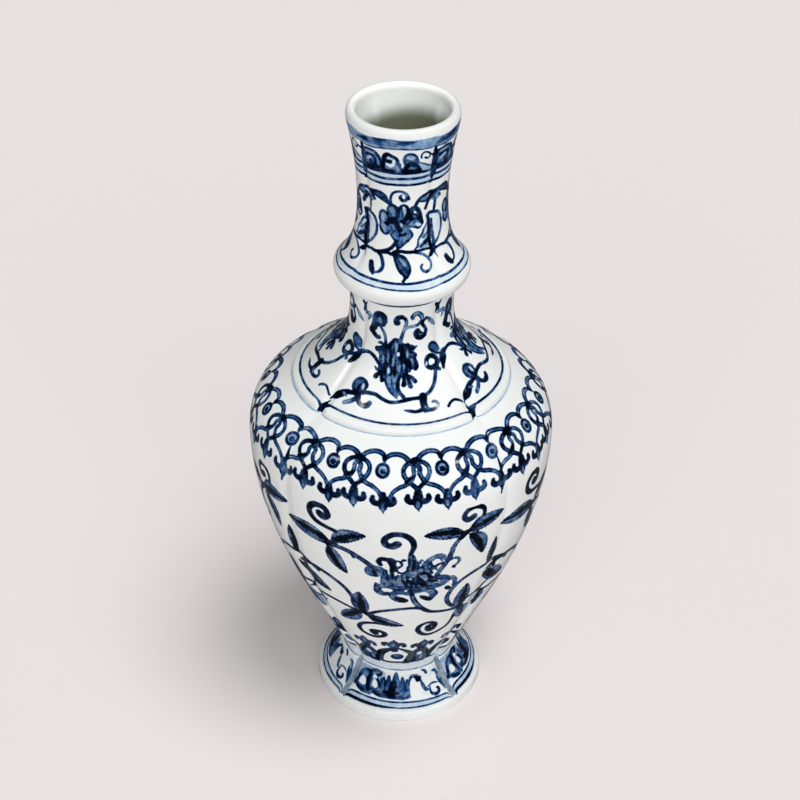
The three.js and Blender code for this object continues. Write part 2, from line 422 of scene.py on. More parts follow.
class Recipe:
    """A material, or a sky, built up from nodes."""

    def __init__(self, made):
        made.use_nodes = True
        self.made, self.tree = made, made.node_tree
        self.tree.nodes.clear()

    def node(self, kind, settings=None, values=None, out=0):
        """Add a node with its settings and values, and give back one of its outputs."""
        made = self.tree.nodes.new(kind)
        for name, setting in (settings or {}).items():
            if name == "stops":
                stops = made.color_ramp.elements
                while len(stops) < len(setting):
                    stops.new(0.5)
                for stop, (place, colour) in zip(stops, setting):
                    stop.position, stop.color = place, (*colour, 1)
            else:
                setattr(made, name, setting)
        for name, value in (values or {}).items():
            if isinstance(value, Wire):
                self.tree.links.new(value.socket, made.inputs[name])
            else:
                made.inputs[name].default_value = value
        return Wire(self, made.outputs[out]) if len(made.outputs) else None

    def step(self, value, low, high):
        """From 0 at low to 1 at high, slow at both ends."""
        values = {"Value": value, "From Min": low, "From Max": high}
        return self.node("ShaderNodeMapRange", {"interpolation_type": "SMOOTHSTEP"}, values)

    def grain(self, place, scale, detail=2.0, rough=0.5):
        """A soft cloudiness, with about scale clouds to the metre."""
        values = {"Vector": place, "Scale": scale, "Detail": detail, "Roughness": rough}
        return self.node("ShaderNodeTexNoise", {}, values)

    def mark(self, name):
        """A layer that was painted on the shells."""
        return self.node("ShaderNodeAttribute", {"attribute_name": name}, {}, "Fac")

    def mix(self, share, one, other):
        """One colour at a share of 0 and the other at 1."""
        one, other = (colour if isinstance(colour, Wire) else (*colour, 1) for colour in (one, other))
        return self.node("ShaderNodeMix", {"data_type": "RGBA"}, {0: share, 6: one, 7: other}, 2)

    def ramp(self, value, places, colours):
        """A colour that follows a value through a row of colours."""
        stops = list(zip(places, colours))
        return self.node("ShaderNodeValToRGB", {"stops": stops}, {"Fac": value}, "Color")


def srgb(*levels):
    """A colour as read off a screen, 0 to 255, made linear."""
    shares = [level / 255 for level in levels]
    return tuple(s / 12.92 if s <= 0.04045 else ((s + 0.055) / 1.055) ** 2.4 for s in shares)


FINE_GRAIN, MOTTLE_GRAIN, BLOTCH_GRAIN, SKIN_GRAIN, CLOUD_GRAIN = 1100, 420, 150, 130, 45
WHITE_GLAZE = srgb(226, 231, 229), srgb(234, 236, 234)
# Colours of the painted shade on the inner walls: a dark olive, and a wall painted paler than the outer glaze
# to stand in for light.
THROAT_PAINTED_SHADE = srgb(124, 131, 110), srgb(252, 254, 250)
BARE_CLAY = srgb(221, 205, 186), srgb(205, 178, 150)
# Heights in metres over which the painted shadow inside the mouth fades out, and how its edge tilts, higher
# on the right.
THROAT_SHADE_FULL, THROAT_SHADE_END, THROAT_SHADE_SLOPE = 0.399, 0.41, 0.1
GLAZE_IOR, GLAZE_SHEEN, GLAZE_ROUGH = 1.5, 0.08, 0.12
SKIN_STRENGTH, SKIN_HEIGHT = 0.12, 0.0006
# The cobalt from none to its thickest, where it turned grey and where it stayed blue.
COBALT_PLACES = (0.0, 0.12, 0.3, 0.5, 0.68, 0.84, 1.0)
GREY_COBALT = (
    srgb(229, 233, 232),
    srgb(204, 212, 216),
    srgb(148, 160, 170),
    srgb(84, 98, 112),
    srgb(40, 50, 64),
    srgb(15, 21, 30),
    srgb(4, 7, 11),
)
BLUE_COBALT = (
    srgb(229, 233, 232),
    srgb(192, 211, 228),
    srgb(112, 151, 190),
    srgb(32, 82, 138),
    srgb(7, 42, 88),
    srgb(2, 18, 44),
    srgb(0, 5, 16),
)


def painted_glaze(name):
    """Cool white porcelain under a clear glaze, with cobalt that pools dark in the brush marks."""
    glaze = Recipe(bpy.data.materials.new(name))
    place = glaze.node("ShaderNodeTexCoord", {}, {}, "Object")
    fine = glaze.grain(place, FINE_GRAIN)
    mottle = glaze.step(glaze.grain(place, MOTTLE_GRAIN, 3, 0.6), 0.32, 0.68)
    blotch = glaze.step(glaze.grain(place, BLOTCH_GRAIN), 0.34, 0.66)
    cloud = glaze.grain(place, CLOUD_GRAIN)
    line_depth, wash_depth = glaze.mark("line"), glaze.mark("wash")
    tone, shade, blue = glaze.mark("tone"), glaze.mark("shade"), glaze.mark("blue")
    hollow, bare = glaze.mark("hollow"), glaze.mark("bare")

    # A stroke has a frayed edge and a core as dark as its tone. A wash lies thinner, with soft edges.
    cover = glaze.step(line_depth + (fine - 0.5) * 0.5, -0.25, 0.25)
    core = glaze.step(line_depth + (mottle - 0.5) * 0.5, 0.1, 0.8)
    ink = 0.66 + core * (tone - 0.7) * 0.95 + (blotch - 0.5) * 0.32 + (mottle - 0.5) * 0.16
    washed = glaze.step(wash_depth + (fine - 0.5) * 0.4, -0.25, 0.5)
    water = shade * (0.72 + (mottle + blotch) * 0.28)
    halo = glaze.step(line_depth, -1.2, 0.1) * 0.08
    cobalt = (cover * ink).most(washed * water).most(halo)
    ramps = [glaze.ramp(cobalt, COBALT_PLACES, colours) for colours in (GREY_COBALT, BLUE_COBALT)]
    colour = glaze.mix(blue + (blotch - 0.5) * 0.4, *ramps)

    # The white is clouded. Inside the mouth a painted shadow darkens it with depth, sooner on the right.
    white = glaze.mix(cloud, *WHITE_GLAZE)
    height, across = (glaze.node("ShaderNodeSeparateXYZ", {}, {"Vector": place}, axis) for axis in "ZX")
    deep = glaze.step(height - across * THROAT_SHADE_SLOPE, THROAT_SHADE_FULL, THROAT_SHADE_END)
    throat_shade = glaze.mix(deep, *THROAT_PAINTED_SHADE)
    # Inner walls take the painted shadow: dark olive everywhere lower down, and above it a wall painted paler
    # than the glaze outside.
    shaded_white = glaze.mix(hollow, white, throat_shade)
    shown = glaze.mix(glaze.step(cobalt, 0.0, 0.12), shaded_white, colour)
    clay = glaze.mix(mottle, *BARE_CLAY)
    surface = glaze.mix(bare, shown, clay)

    # The glaze is glossy with a faint orange-peel skin, and sinks a little over thick cobalt.
    rough = GLAZE_ROUGH + (cloud - 0.5) * 0.05 + bare * 0.6
    skin = glaze.grain(place, SKIN_GRAIN)
    sunk = {"Strength": SKIN_STRENGTH, "Distance": SKIN_HEIGHT, "Height": skin + cobalt * -0.25}
    relief = glaze.node("ShaderNodeBump", {}, sunk)
    coat = {"Base Color": surface, "Roughness": rough, "Normal": relief}
    coat.update({"IOR": GLAZE_IOR, "Specular IOR Level": GLAZE_SHEEN})
    shader = glaze.node("ShaderNodeBsdfPrincipled", {}, coat)
    glaze.node("ShaderNodeOutputMaterial", {}, {"Surface": shader})
    return glaze.made


porcelain = painted_glaze("cobalt_under_glaze")


foot = Shell(
    "painted_foot",
    base=0,
    start=(REST_RADIUS, 0),
    runs=[
        line((FOOT_EDGE, 0), 1.5),
        curve((FOOT_RADIUS, 0), (FOOT_RADIUS, 1.2), gap=0.4),
        line((FOOT_RADIUS, 5.8), 0.5),
        curve((FOOT_RADIUS, 7.6), (51, 8.2), gap=0.4),
        curve((43.6, 16.5), (36.9, 30), gap=0.42),
        curve((38.7, 33.25), (WAIST_RADIUS, FOOT_HEIGHT), gap=0.42),
        line((30.2, FOOT_HEIGHT), 1.2),
        curve((29.9, 25.25), (40.1, 9.5), (REST_RADIUS, 0), gap=2.2),
    ],
    painted=((FOOT_EDGE, 0), (WAIST_RADIUS, FOOT_HEIGHT)),
    columns=560,
    depth_at=lambda height: WAIST_GROOVE * ease(height, 7, 16.5),
    crease=TIGHT_CREASE,
    blue=0.8,
    turn=1.5,
)

foot_marks = [
    tint((-44, 16), (-43, 25), (-40, 34), (-20, 34.6), (0, 33), (20, 33), (41, 33.4), (43, 24), (44, 15),
         (20, 16), (0, 16.4), (-20, 16.4), shade=0.07),
    tint((-44, 24), (-41, 33.6), (-28, 34.6), (-14, 34), (-12, 29), (-24, 26), shade=0.24),
    tint((-41, 19), (-38.5, 26), (-36, 29.6), (-31, 31.6), (-24, 33), (-18, 31), (-20, 24), (-21, 17.4),
         (-30, 17.6), (-38, 18.6), shade=0.45),
    tint((-22, 18), (-18, 24), (-15, 30), (-11.5, 25), (-9, 31.5), (-6, 27), (-2, 34), (2, 28), (4, 30.5),
         (6, 26), (8, 29), (11, 22), (9, 16.5), (-3, 16), (-14, 16.5), shade=0.5),
    brush((-42.6, 8.6), (-41, 10.2), (-37, 10.9), (-25, 11), (-11, 10.9), (-2, 10.9), toe=0.5, tone=1.1),
    brush((-10, 10.9), (2, 10.8), (18, 10.5), (34, 10.3), (40, 9.8), (43, 8.3), width=1.2, tone=0.6),
    brush((-43, 10.4), (-41.5, 13), (-38, 14.4), (-30, 14.8), (-10, 14.6), (8, 14.3), (24, 13.6),
          (38, 12.9), (41, 12), (43.4, 9.4), width=1.3, tone=0.7),
    tint((-43, 9.6), (-38, 14), (0, 14.4), (38, 12.6), (43, 9.4), (36, 10.5), (0, 11.2), (-37, 11.4),
         shade=0.16),
    brush((-20.5, 18.6), (-14, 17.6), (-3, 18), (4, 17), (9, 18.4), width=2.6, tone=0.75),
    brush((-19.6, 20), (-15.6, 24), (-13, 29.8), (-11.6, 25), (-11, 20), width=1.3, tone=0.75),
    brush((-11.5, 22), (-10, 28), (-8.4, 31.6), (-7, 28), (-6, 21), width=1.3, tone=0.8),
    brush((-6, 23), (-4.4, 29.6), (-1.8, 34), (0.6, 29), (1.6, 22), width=1.2, tone=0.6),
    brush((1.5, 24), (2.6, 28), (4, 31), (5.4, 27), (5.6, 22), width=1.2, tone=0.55),
    brush((5.5, 21), (6.5, 25), (8, 29), (9.7, 25), (9.9, 20.6), width=1.3, tone=0.55),
    brush((-5.8, 19.6), (-4.4, 24), (-2.8, 29.6), width=5.6, heel=0.95, toe=0.15, tone=1.05),
    brush((-12, 20.4), (-6, 20.2), (0.4, 20.4), width=3.2, toe=0.7, tone=1),
    brush((-40, 19.4), (-38, 24), (-35.6, 28.6), (-32, 31), (-27, 31.4), (-21, 33.4), (-16, 32.6),
          width=2.8, toe=0.8, tone=0.72),
    brush((-26.6, 31), (-27, 25), (-25.4, 18.6), width=3.4, heel=0.9, toe=1, tone=0.9),
    brush((-39.6, 20.6), (-35, 18.8), (-30, 17.6), (-23, 16.8), width=2.8, tone=0.75),
    brush((-20.6, 30.6), (-17.4, 30.8), (-15.4, 32.6), width=2.4, tone=0.95),
    brush((-18.6, 27.6), (-16.6, 25), (-14.6, 21.6), tone=0.9),
    brush((-24, 20.4), (-20, 20.4), (-16, 19.6), tone=0.7),
    tint((-35.6, 21.4), (-35, 25), (-32.6, 26.6), (-29.8, 25), (-29, 22), (-31, 20.6), shade=0),
    tint((-22.8, 23), (-22.4, 26.4), (-20.6, 27), (-18, 23), (-19.6, 21.6), shade=0),
    tint((-23.4, 27.6), (-22.8, 30), (-20, 29.8), (-19.6, 28), shade=0),
    brush((9.8, 24.4), (10.8, 29), (13, 31.2), (18, 31.4), width=2, tone=0.7),
    brush((16.2, 29.6), (18, 28.4), (19, 29), width=4, heel=0.9, toe=0.9, tone=0.95),
    brush((20.6, 27), (21.6, 23.6), (23.6, 20.4), (26.4, 19.6), width=2.6, heel=0.5, toe=0.5, tone=0.6),
    tint((10.4, 18.4), (10, 24), (11.6, 28.6), (14.6, 29.6), (16.6, 26.6), (19.6, 25), (20, 20), (18, 17),
         (13, 16.6), shade=0),
    brush((27.6, 21), (27.2, 17.4), (30, 15.4), (33.6, 15.8), (35.2, 17.6), (34, 18.8), heel=0.5, toe=1.1,
          tone=0.8),
    tint((29.6, 18), (29.6, 21), (34, 22), (38, 20.6), (38, 17), (36.6, 15.6), (35.6, 19), (32.6, 19),
         (31.6, 17.2), shade=0),
    tint((24, 24), (23.4, 28.4), (26, 30), (30, 26), (34, 29), (35.4, 25), (31, 22.6), (26, 22.4),
         shade=0.05),
    brush((34, 30.4), (37, 29.8), (38.6, 26.4), (40.6, 20.4), (42, 15.6), width=2.4, heel=0.6, toe=0.6,
          tone=0.5),
    brush((36.6, 25.6), (38, 22), (40.6, 17), width=1.6, tone=0.65),
    brush((23.6, 33.6), (25.8, 32.6), (27, 31), width=1.9, toe=1.1, tone=0.75),
    brush((26, 21.6), (31, 22.8), (36, 21.6), width=1.4, tone=0.45),
    even((-45, 36), (-20, 36.2), (0, 36), (45, 35.4), width=0.6, tone=0.5),
    tint((-45, 36.6), (-20, 36.6), (20, 36.6), (45, 36), (45, 42.8), (-45, 42.8), shade=0.1),
    brush((-44.4, 34), (-42.4, 26), (-42, 19), (-43.6, 12), width=1.2, tone=0.75),
    brush((44.6, 32), (43, 24), (43, 17), (44, 11), width=1.2, tone=0.6),
]
paint(foot, foot_marks, seed=3, share=1.033)
foot.groove(half=2.2, low=8.5, high=36, shade=0.34)
foot.finish("foot", bare_below=FOOT_BARE_BELOW)


# Lower body
# The deep lower wall of the vase: a thick floor and a full flank that opens to the widest line.
# It was thrown in a four-lobed mould as one shell, and carries a scrolling lotus over a band of lappets.

LOWER_HEIGHT = 167.5
GIRTH_RADIUS = 92.7
GIRTH_GROOVE = 1.6
BODY_WALL = 6
BODY_INSIDE = GIRTH_RADIUS - BODY_WALL
FLOOR_HEIGHT = 7
FLANK_HANDLE = 110.5
BASE_BAND_TOP, BASE_BAND_BLUE = 46, 0.85

lower_body = Shell(
    "painted_lower_body",
    base=FOOT_HEIGHT,
    start=(0, 0),
    runs=[
        line((WAIST_RADIUS, 0), 7),
        curve((38.7, 0), (40.2, 2.1), gap=0.7),
        curve((61.2, 48.1), (GIRTH_RADIUS, FLANK_HANDLE), (GIRTH_RADIUS, LOWER_HEIGHT), gap=(0.8, 1.3)),
        line((BODY_INSIDE, LOWER_HEIGHT), 3),
        curve((BODY_INSIDE, FLANK_HANDLE), (55, 53), (34, 9.1), gap=14),
        curve((33, FLOOR_HEIGHT), (25, FLOOR_HEIGHT), gap=4),
        line((0, FLOOR_HEIGHT), 9),
    ],
    painted=((WAIST_RADIUS, 0), (GIRTH_RADIUS, LOWER_HEIGHT)),
    columns=496,
    depth_at=lambda height: blend(WAIST_GROOVE, GIRTH_GROOVE, ease(height, 0, FLANK_HANDLE)),
    crease=BROAD_CREASE,
    blue=0.62,
    solid=WAIST_RADIUS,
)


BAND_INSET, GLINT_SPREAD = 0.1, 0.4
VEIN_GAP, TOOTH = 2.6, 0.34
LEAF_TONE = 0.9
LEAF_REACH = 2


def draw_band(shell, mark, knots):
    rows, columns, sheet, tone = stroke(shell, mark, knots)
    shell.lay("line", rows, columns, mark["rim"] - np.abs(sheet - mark["rim"] + BAND_INSET), tone)
    shell.lay("wash", rows, columns, sheet, mark["shade"])


def band(*places, width, heel=0.8, toe=0.7, tone=0.85, rim=0.5, shade=0.5):
    """A band drawn by its two dark edges, with a wash between them."""
    made = brush(*places, width=width, heel=heel, toe=toe, tone=tone, drawn=draw_band)
    return dict(made, rim=rim, shade=shade)


def draw_glint(shell, mark, knots):
    rows, columns, sheet, _ = stroke(shell, mark, knots)
    shell.scrape(rows, columns, sheet)
    shell.lay("wash", rows, columns, sheet + GLINT_SPREAD, mark["shade"])


def glint(*places, width, shade):
    """A thin place in the colour, where the brush left a paler streak."""
    return dict(brush(*places, width=width, toe=0.7, drawn=draw_glint), shade=shade)


def draw_leaf(shell, mark, knots):
    (ua, va), (ub, vb) = knots
    half = mark["half"]
    rows, columns, angles = shell.window(knots, half + abs(mark["bow"]) + LEAF_REACH)
    radius = float(np.interp((va + vb) / 2, shell.rise, shell.radii))
    run = np.array([math.radians(ub - ua) * radius, vb - va])
    length = float(np.hypot(*run))
    run /= length
    dx = np.radians(angles[None, :] - (ua + ub) / 2) * shell.radii[rows][:, None]
    dy = np.broadcast_to(shell.rise[rows][:, None] - (va + vb) / 2, dx.shape)
    # How far each place lies along the midrib, beside it, and past either end.
    along = (dx * run[0] + dy * run[1]) / length + 0.5
    held = np.clip(along, 0, 1)
    off = dx * -run[1] + dy * run[0] - mark["bow"] * 4 * held * (1 - held)
    over = np.maximum(np.abs(along - 0.5) - 0.5, 0) * length
    # The outline, toothed on a broad leaf, and then the midrib and the slanting veins.
    shape = np.sin(np.pi * held**0.85) ** 0.7
    edge = half * shape - np.abs(off)
    teeth = TOOTH * np.sin(math.tau * along * length / VEIN_GAP) * (half > 3)
    edge = np.where(over > 0, -np.hypot(over, off), np.minimum(edge + teeth, half))
    rib = blend(0.5, 0.24, held) * half * shape + 0.2 - np.abs(off + 0.16 * half * shape) - over
    slant = np.cos(math.tau * (along * length - np.abs(off) * 0.9) / VEIN_GAP)
    tone = blend(0.88, 0.37 + 0.28 * slant, ease(edge, 0.45, 1.0))
    tone = blend(tone, 1.05, ease(rib, -0.5, 0.5)) + mark["tone"] - LEAF_TONE
    shell.lay("line", rows, columns, np.maximum(edge, UNPAINTED), tone)
    shell.lay("wash", rows, columns, np.maximum(edge, UNPAINTED), mark["shade"])


def leaf(root, tip, half, bow=0.0, tone=LEAF_TONE, shade=0.5):
    """A pointed leaf from root to tip: dark edge and midrib, with a veined wash between them."""
    return dict(drawn=draw_leaf, places=(root, tip), half=half, bow=bow, tone=tone, shade=shade)


def dot(place, size, tone=0.9):
    """A round touch of the brush."""
    return even(place, (place[0] + 0.1, place[1]), width=size, tone=tone)


def draw_scrape(shell, mark, knots):
    rows, columns, sheet, _ = stroke(shell, mark, knots)
    shell.scrape(rows, columns, sheet)


def scrape(place, size):
    """A round spot left white."""
    return dict(dot(place, size), drawn=draw_scrape)


def ring(place, across, up, width, tone):
    """A small round ring, across in degrees and up in mm."""
    turns = [math.tau * k / 8 for k in range(9)]
    places = [(place[0] + across * math.cos(turn), place[1] + up * math.sin(turn)) for turn in turns]
    return even(*places, width=width, tone=tone)


def moved(marks, across, up=0.0, darker=0.0):
    """The same marks again, turned across and lifted, in a darker or paler tone."""
    copies = []
    for mark in marks:
        copy = dict(mark, places=tuple((u + across, v + up) for u, v in mark["places"]))
        if "tone" in mark:
            copy["tone"] = mark["tone"] + darker
        copies.append(copy)
    return copies


finial = [
    brush((0, 26), (0, 33), (0, 38), (0.4, 43.5), width=6.2, heel=0.9, toe=0.12, tone=0.75),
    brush((-7.2, 33.4), (-7.4, 36.4), (-5, 37.6), (-2.6, 33), (-1, 29), width=3.2, heel=0.9, toe=0.9),
    brush((7.4, 32.6), (7.2, 36), (4.8, 37.4), (2.6, 33), (1, 29), width=3.2, heel=1, toe=0.9),
    glint((0, 37.6), (-0.3, 33), width=1.6, shade=0.45),
]
lappet = [
    brush((-1.4, 29.8), (-7, 26.2), (-11.6, 21.4), (-14.6, 14.6), (-16, 8), width=6, heel=0.5, toe=1,
          tone=1.05),
    brush((2, 29.6), (8, 25.4), (12.2, 20.4), (14.4, 14), (15.6, 6.5), width=4.2, heel=0.6, toe=1.15,
          tone=0.95),
    even((-15.6, 7), (-7, 5.7), (1.6, 6), (9.6, 5.7), (15.4, 6.6), width=2.8, tone=1),
    tint((-4.5, 15.6), (-3.1, 19), (0.7, 20.2), (4.5, 19.2), (6.3, 15.8), (4.7, 12.2), (1.1, 11),
         (-3.1, 12.2), shade=0.58),
    ring((0.9, 15.6), 4.4, 3.7, 1.9, 0.9),
    brush((1.8, 12.6), (4.2, 13.4), (4.6, 16), tone=1.05),
    glint((-1.5, 17.6), (1.5, 17), width=2.2, shade=0.46),
]
knot = [
    brush((0, 27.5), (-4, 23), (-7.4, 17), (-9.4, 10), (-10.4, 4), width=5, heel=0.9, toe=1, tone=0.95),
    brush((0, 27.5), (3.6, 22), (5.4, 16), (5, 9), (3.6, 3.6), width=5, heel=0.8, toe=1, tone=0.9),
    tint((-1, 26), (-6, 18), (-9, 6), (4, 5), (5, 14), (2, 24), shade=0.6),
    brush((-4.6, 13), (-1, 9), (1, 4), width=4, heel=0.8, toe=1, tone=1),
    glint((-0.4, 19.6), (0.2, 17), width=3, shade=0.12),
    glint((-5.4, 9), (-6.4, 5.6), width=1.6, shade=0.4),
    glint((2.6, 13), (2.4, 9), width=1.4, shade=0.4),
]
base_band = []
for turn, low in ((-23.4, -2), (19.6, -3)):
    base_band += moved(finial, turn, low) + moved(knot, turn)
for turn in (-1.6, 42.5):
    base_band += moved(finial, turn) + moved(lappet, turn + 1.4)
base_band.append(even((-45, 1), (-22, 1.3), (0, 1), (22, 1.3), (45, 1), width=2.4, tone=1))

curls = [
    brush((-7, 66.5), (-13, 66), (-19, 62.5), (-22.6, 56), (-21.6, 49.5), (-16, 45.8), (-10.5, 46.4),
          (-7, 49.5), (-7, 53.2), (-10, 55), (-13.8, 54), (-13.2, 51), width=3.6, heel=0.8, toe=1.5,
          tone=0.92),
    brush((34, 69), (34, 61), (32.5, 54), (28, 49.6), (22, 47.6), (16.6, 50.5), (13.4, 57), (14.2, 63.5),
          (18.5, 66.4), (22.6, 63.5), (23.6, 58), (21.4, 54), (19.4, 57.5), (19.6, 61), width=3.6, toe=1.3,
          tone=0.92),
]
lower_leaves = [
    leaf((-17.5, 77), (-16.4, 105), 6, bow=0.6),
    leaf((-18, 79), (-33.5, 60.5), 5.9, bow=0.4),
    leaf((-15, 77), (4.5, 65.5), 5.4, bow=-1.4, tone=1),
    leaf((34.5, 76), (34.4, 106), 5.6, bow=0.4, tone=0.85),
    leaf((35.2, 78), (42.5, 57), 6.4, bow=0.6, tone=0.6, shade=0.36),
    even((-20, 78), (-16.4, 79), (-13.5, 76), width=4.8, tone=1),
    even((33, 78.5), (36, 76), width=4.4, tone=1),
    brush((46.5, 119), (47.4, 110), (46.2, 98.5), width=3, heel=0.8, toe=0.3, tone=1),
    leaf((42, 110.5), (46.2, 99), 2.4, tone=1),
    leaf((47.5, 85), (47.2, 65), 3.2, bow=0.5),
    leaf((-45.5, 110), (-32.6, 93.5), 6.4, bow=-2, tone=1),
    leaf((-47.2, 119), (-47, 144), 3.8, tone=1),
]
stems = [
    band((-52, 86), (-47, 87.5), (-43.5, 84.4), (-36, 84.2), (-28, 82.6), (-20, 79.5), width=3.1, heel=0.9,
         toe=0.9, tone=0.95, rim=0.85, shade=0.62),
    band((-46, 112), (-42, 115.5), (-37, 116.4), (-30, 113.2), (-24.4, 107), (-21.4, 99.5), (-20, 91),
         width=3.6, heel=0.9, toe=0.8, rim=0.8, shade=0.62),
    band((-14, 78.5), (-8, 84), (0, 88), (8, 89.6), (12.8, 88), (16, 84), (20, 81), (26, 78.6), (33, 76.6),
         width=3.2, heel=0.9, toe=0.9, tone=0.8, rim=0.75, shade=0.6),
    brush((12.4, 88), (17, 83), (22, 80), (27, 78), width=2.4, tone=1.05),
    band((7.6, 108), (8.6, 101), (10.6, 94), (13.6, 88), (18, 82.4), width=3.6, tone=0.9, rim=0.7,
         shade=0.45),
    band((54, 113), (50, 118), (46, 119.6), (38, 118.2), (31, 113.2), (26.6, 105), (25.2, 95.5),
         (27.6, 86.5), (32.6, 78.6), width=3.4, heel=0.9, toe=0.8, rim=0.7, shade=0.55),
    brush((51, 98), (47.4, 93), (44.6, 85), (39.5, 78.8), width=2.4, tone=0.8),
    brush((38, 74), (46, 72.5), (52, 78), width=1.8, tone=0.7),
]
flower = [
    tint((-4.6, 119), (-5, 127), (-4.4, 131), (-1, 129), (1.4, 128), (4, 131), (7, 137), (11, 133),
         (14.5, 129), (14, 120), (18, 118), (17, 112), (12, 108), (6, 107), (2, 111), (-1, 114),
         shade=0.46),
    brush((-0.6, 124), (-0.9, 131), (-0.6, 137), (-2, 142.4), (-4.8, 143.6), (-6.2, 141), (-5.4, 138),
          width=3.9, heel=0.5, toe=0.8, tone=1),
    brush((-2.4, 142), (-1.6, 144), (0, 142), (0.4, 138), width=2.8, tone=0.6),
    band((-3.4, 117), (-4.2, 125), (-4.6, 131.5), (-7.2, 134), (-10, 133), (-10.6, 128.5), (-8.2, 126.8),
         width=5, toe=0.8),
    brush((-7.8, 132), (-7.6, 126.6), width=3, heel=0.6, toe=1.1, tone=1),
    band((4, 114.5), (0, 115), (-3.6, 116.6), (-6.8, 115), (-7.2, 110), (-5.4, 107.2), (-3.2, 107.6),
         width=5.2, toe=0.8, tone=0.9),
    brush((-7.8, 119), (-8.4, 114), (-7.4, 109), (-5, 106.4), (-3, 108), toe=1.2, tone=0.7),
    band((5.4, 108), (2, 109.6), (-0.4, 107.6), (-0.2, 103.4), (2, 100.4), (4.4, 99.4), width=5.2, toe=1,
         tone=1),
    brush((0.6, 103), (3, 101), (4.2, 99), width=5.4, heel=0.6, toe=0.8, tone=1),
    band((8.6, 112.5), (12.4, 112), (16, 108.6), (17.6, 104), (16.6, 99.6), width=4.8, toe=0.9, tone=0.8),
    brush((11.8, 104), (13.8, 101.4), (16.2, 98.4), width=4.2, heel=0.5, toe=0.9, tone=1),
    brush((16.4, 112.6), (18.4, 108), (19.4, 104), (17.8, 99), width=1.4, tone=0.5),
    band((11.6, 113.2), (16, 112.8), (20.2, 114), (22.6, 117), (22, 121), (19.4, 122.6), (16, 121.5),
         width=4.6, toe=0.9, tone=0.75),
    brush((15, 124), (15.4, 121), (18, 119), width=4, toe=0.6, tone=1),
    band((22.8, 120.6), (25.4, 119.4), (27, 115), (26.4, 110.4), width=3, tone=0.35),
    brush((23.6, 109.4), (24.6, 107), width=3.8, heel=0.9, toe=0.7, tone=1),
    band((15, 128.6), (13, 132), (12.6, 137.4), (14, 141.4), (16.6, 144), (19, 143.6), (19.6, 140.8),
         width=4.4, toe=0.9, tone=1),
    brush((14.4, 128), (15.4, 133), (15, 139), width=1.8, tone=0.8),
    brush((-0.2, 143), (2, 142), (3.2, 139), (2.2, 136), (0.8, 134.6), width=1.7, tone=0.7),
    brush((1, 137), (1.2, 132.4), (3, 130.2), (5, 132), (6, 137), (6.4, 142), width=1.9, heel=0.8, toe=0.9,
          tone=0.7),
    brush((6.2, 138), (6.2, 147), (7.6, 155), (6.4, 161.5), (3, 165.2), (-0.8, 165), (-3.5, 161),
          (-3.2, 156.8), (-0.6, 155.4), (1.2, 157.4), width=4.2, heel=0.5, toe=1.35, tone=0.88),
    leaf((7.6, 131), (7.5, 148.5), 2.4, tone=0.8),
    brush((9.4, 131), (9.2, 137), (10.8, 142.4), toe=0.9, tone=0.6),
    brush((9, 134), (12.2, 136.4), width=2.4, tone=0.5),
    dot((3.7, 143), 2.8, tone=0.7),
    brush((1.6, 128.6), (0.8, 125), (0.8, 121.6), width=1.8, tone=0.8),
    brush((-2, 128), (-1.8, 124), (-2, 120), width=1.8, tone=0.6),
    brush((3.2, 128), (3.4, 123), (5, 117.6), (7, 114), tone=0.9),
    brush((7.4, 110), (7, 113), (7.4, 117), width=2.6, heel=0.8, toe=0.8, tone=0.95),
    brush((5, 127.6), (5.6, 124), (5.2, 119.4), width=2.4, tone=1),
    brush((7.4, 122), (7.6, 119), width=3.4, heel=0.8, toe=0.9, tone=0.9),
    brush((10.2, 123.6), (11.6, 119.4), (12.6, 116.6), width=5.2, toe=0.9, tone=1),
    brush((9.4, 116), (9.4, 122), (9.8, 128.6), (12.4, 129.6), (14.2, 126), (13.8, 119), heel=0.9,
          tone=0.95),
    brush((3, 113), (-1, 112.6), tone=0.7),
    brush((2, 119.4), (-2, 119.4), width=2, tone=0.5),
    brush((-4.4, 132), (-5, 126), (-5.6, 120), (-3, 116.8), (3, 115.6), width=1.3, heel=0.9, tone=1),
    brush((-2.8, 133), (-3.2, 127), (-2.8, 121), (1, 118.6), (4, 118), width=1.3, heel=0.9, tone=0.95),
    brush((-7.6, 115.4), (-5.4, 118.4), (0, 116.8), (5, 114), width=1.1, tone=0.95),
    brush((-0.4, 108.6), (3, 111.2), (7, 110.6), (12, 109.6), width=1.3, tone=0.95),
    brush((10, 114.6), (14.6, 115.2), (19.4, 117.2), (21, 120), width=1.3, tone=0.95),
    brush((16, 119), (20, 119.6), (24, 118.4), (25.8, 115), width=1, tone=0.8),
    tint((3.6, 120.6), (3, 124), (5.6, 127), (8.4, 125), (8.4, 121), (6, 119.4), shade=0.34),
    ring((5.8, 123), 2.5, 3.4, 1.5, 0.95),
    tint((10.6, 121), (9.8, 126), (12.6, 129), (15.6, 126.4), (15, 121.4), (12.6, 119.6), shade=0.36),
    ring((12.7, 124.2), 2.8, 4.2, 1.6, 1),
    brush((15.4, 130), (13.8, 134), (14.2, 139), (16.4, 142), width=1.4, tone=1),
    brush((9, 131.6), (10.4, 136), (12.6, 133), (11.4, 130.6), width=1.2, tone=0.9),
    brush((6.4, 131), (5.2, 135), (6, 139), width=1.2, tone=1),
    brush((16.6, 108), (15, 111.6), (10.6, 112.6), width=1.2, tone=0.95),
    brush((-6.4, 108.6), (-6.6, 113), (-4, 116), width=1.3, tone=1),
    brush((-9.6, 128), (-8.6, 132.4), (-6, 132.8), width=1.3, tone=0.9),
    brush((18, 123.4), (16, 121.4), (12, 118), width=1.6, tone=1),
    scrape((4.9, 111.2), 1.8),
    scrape((-3, 111), 2),
]
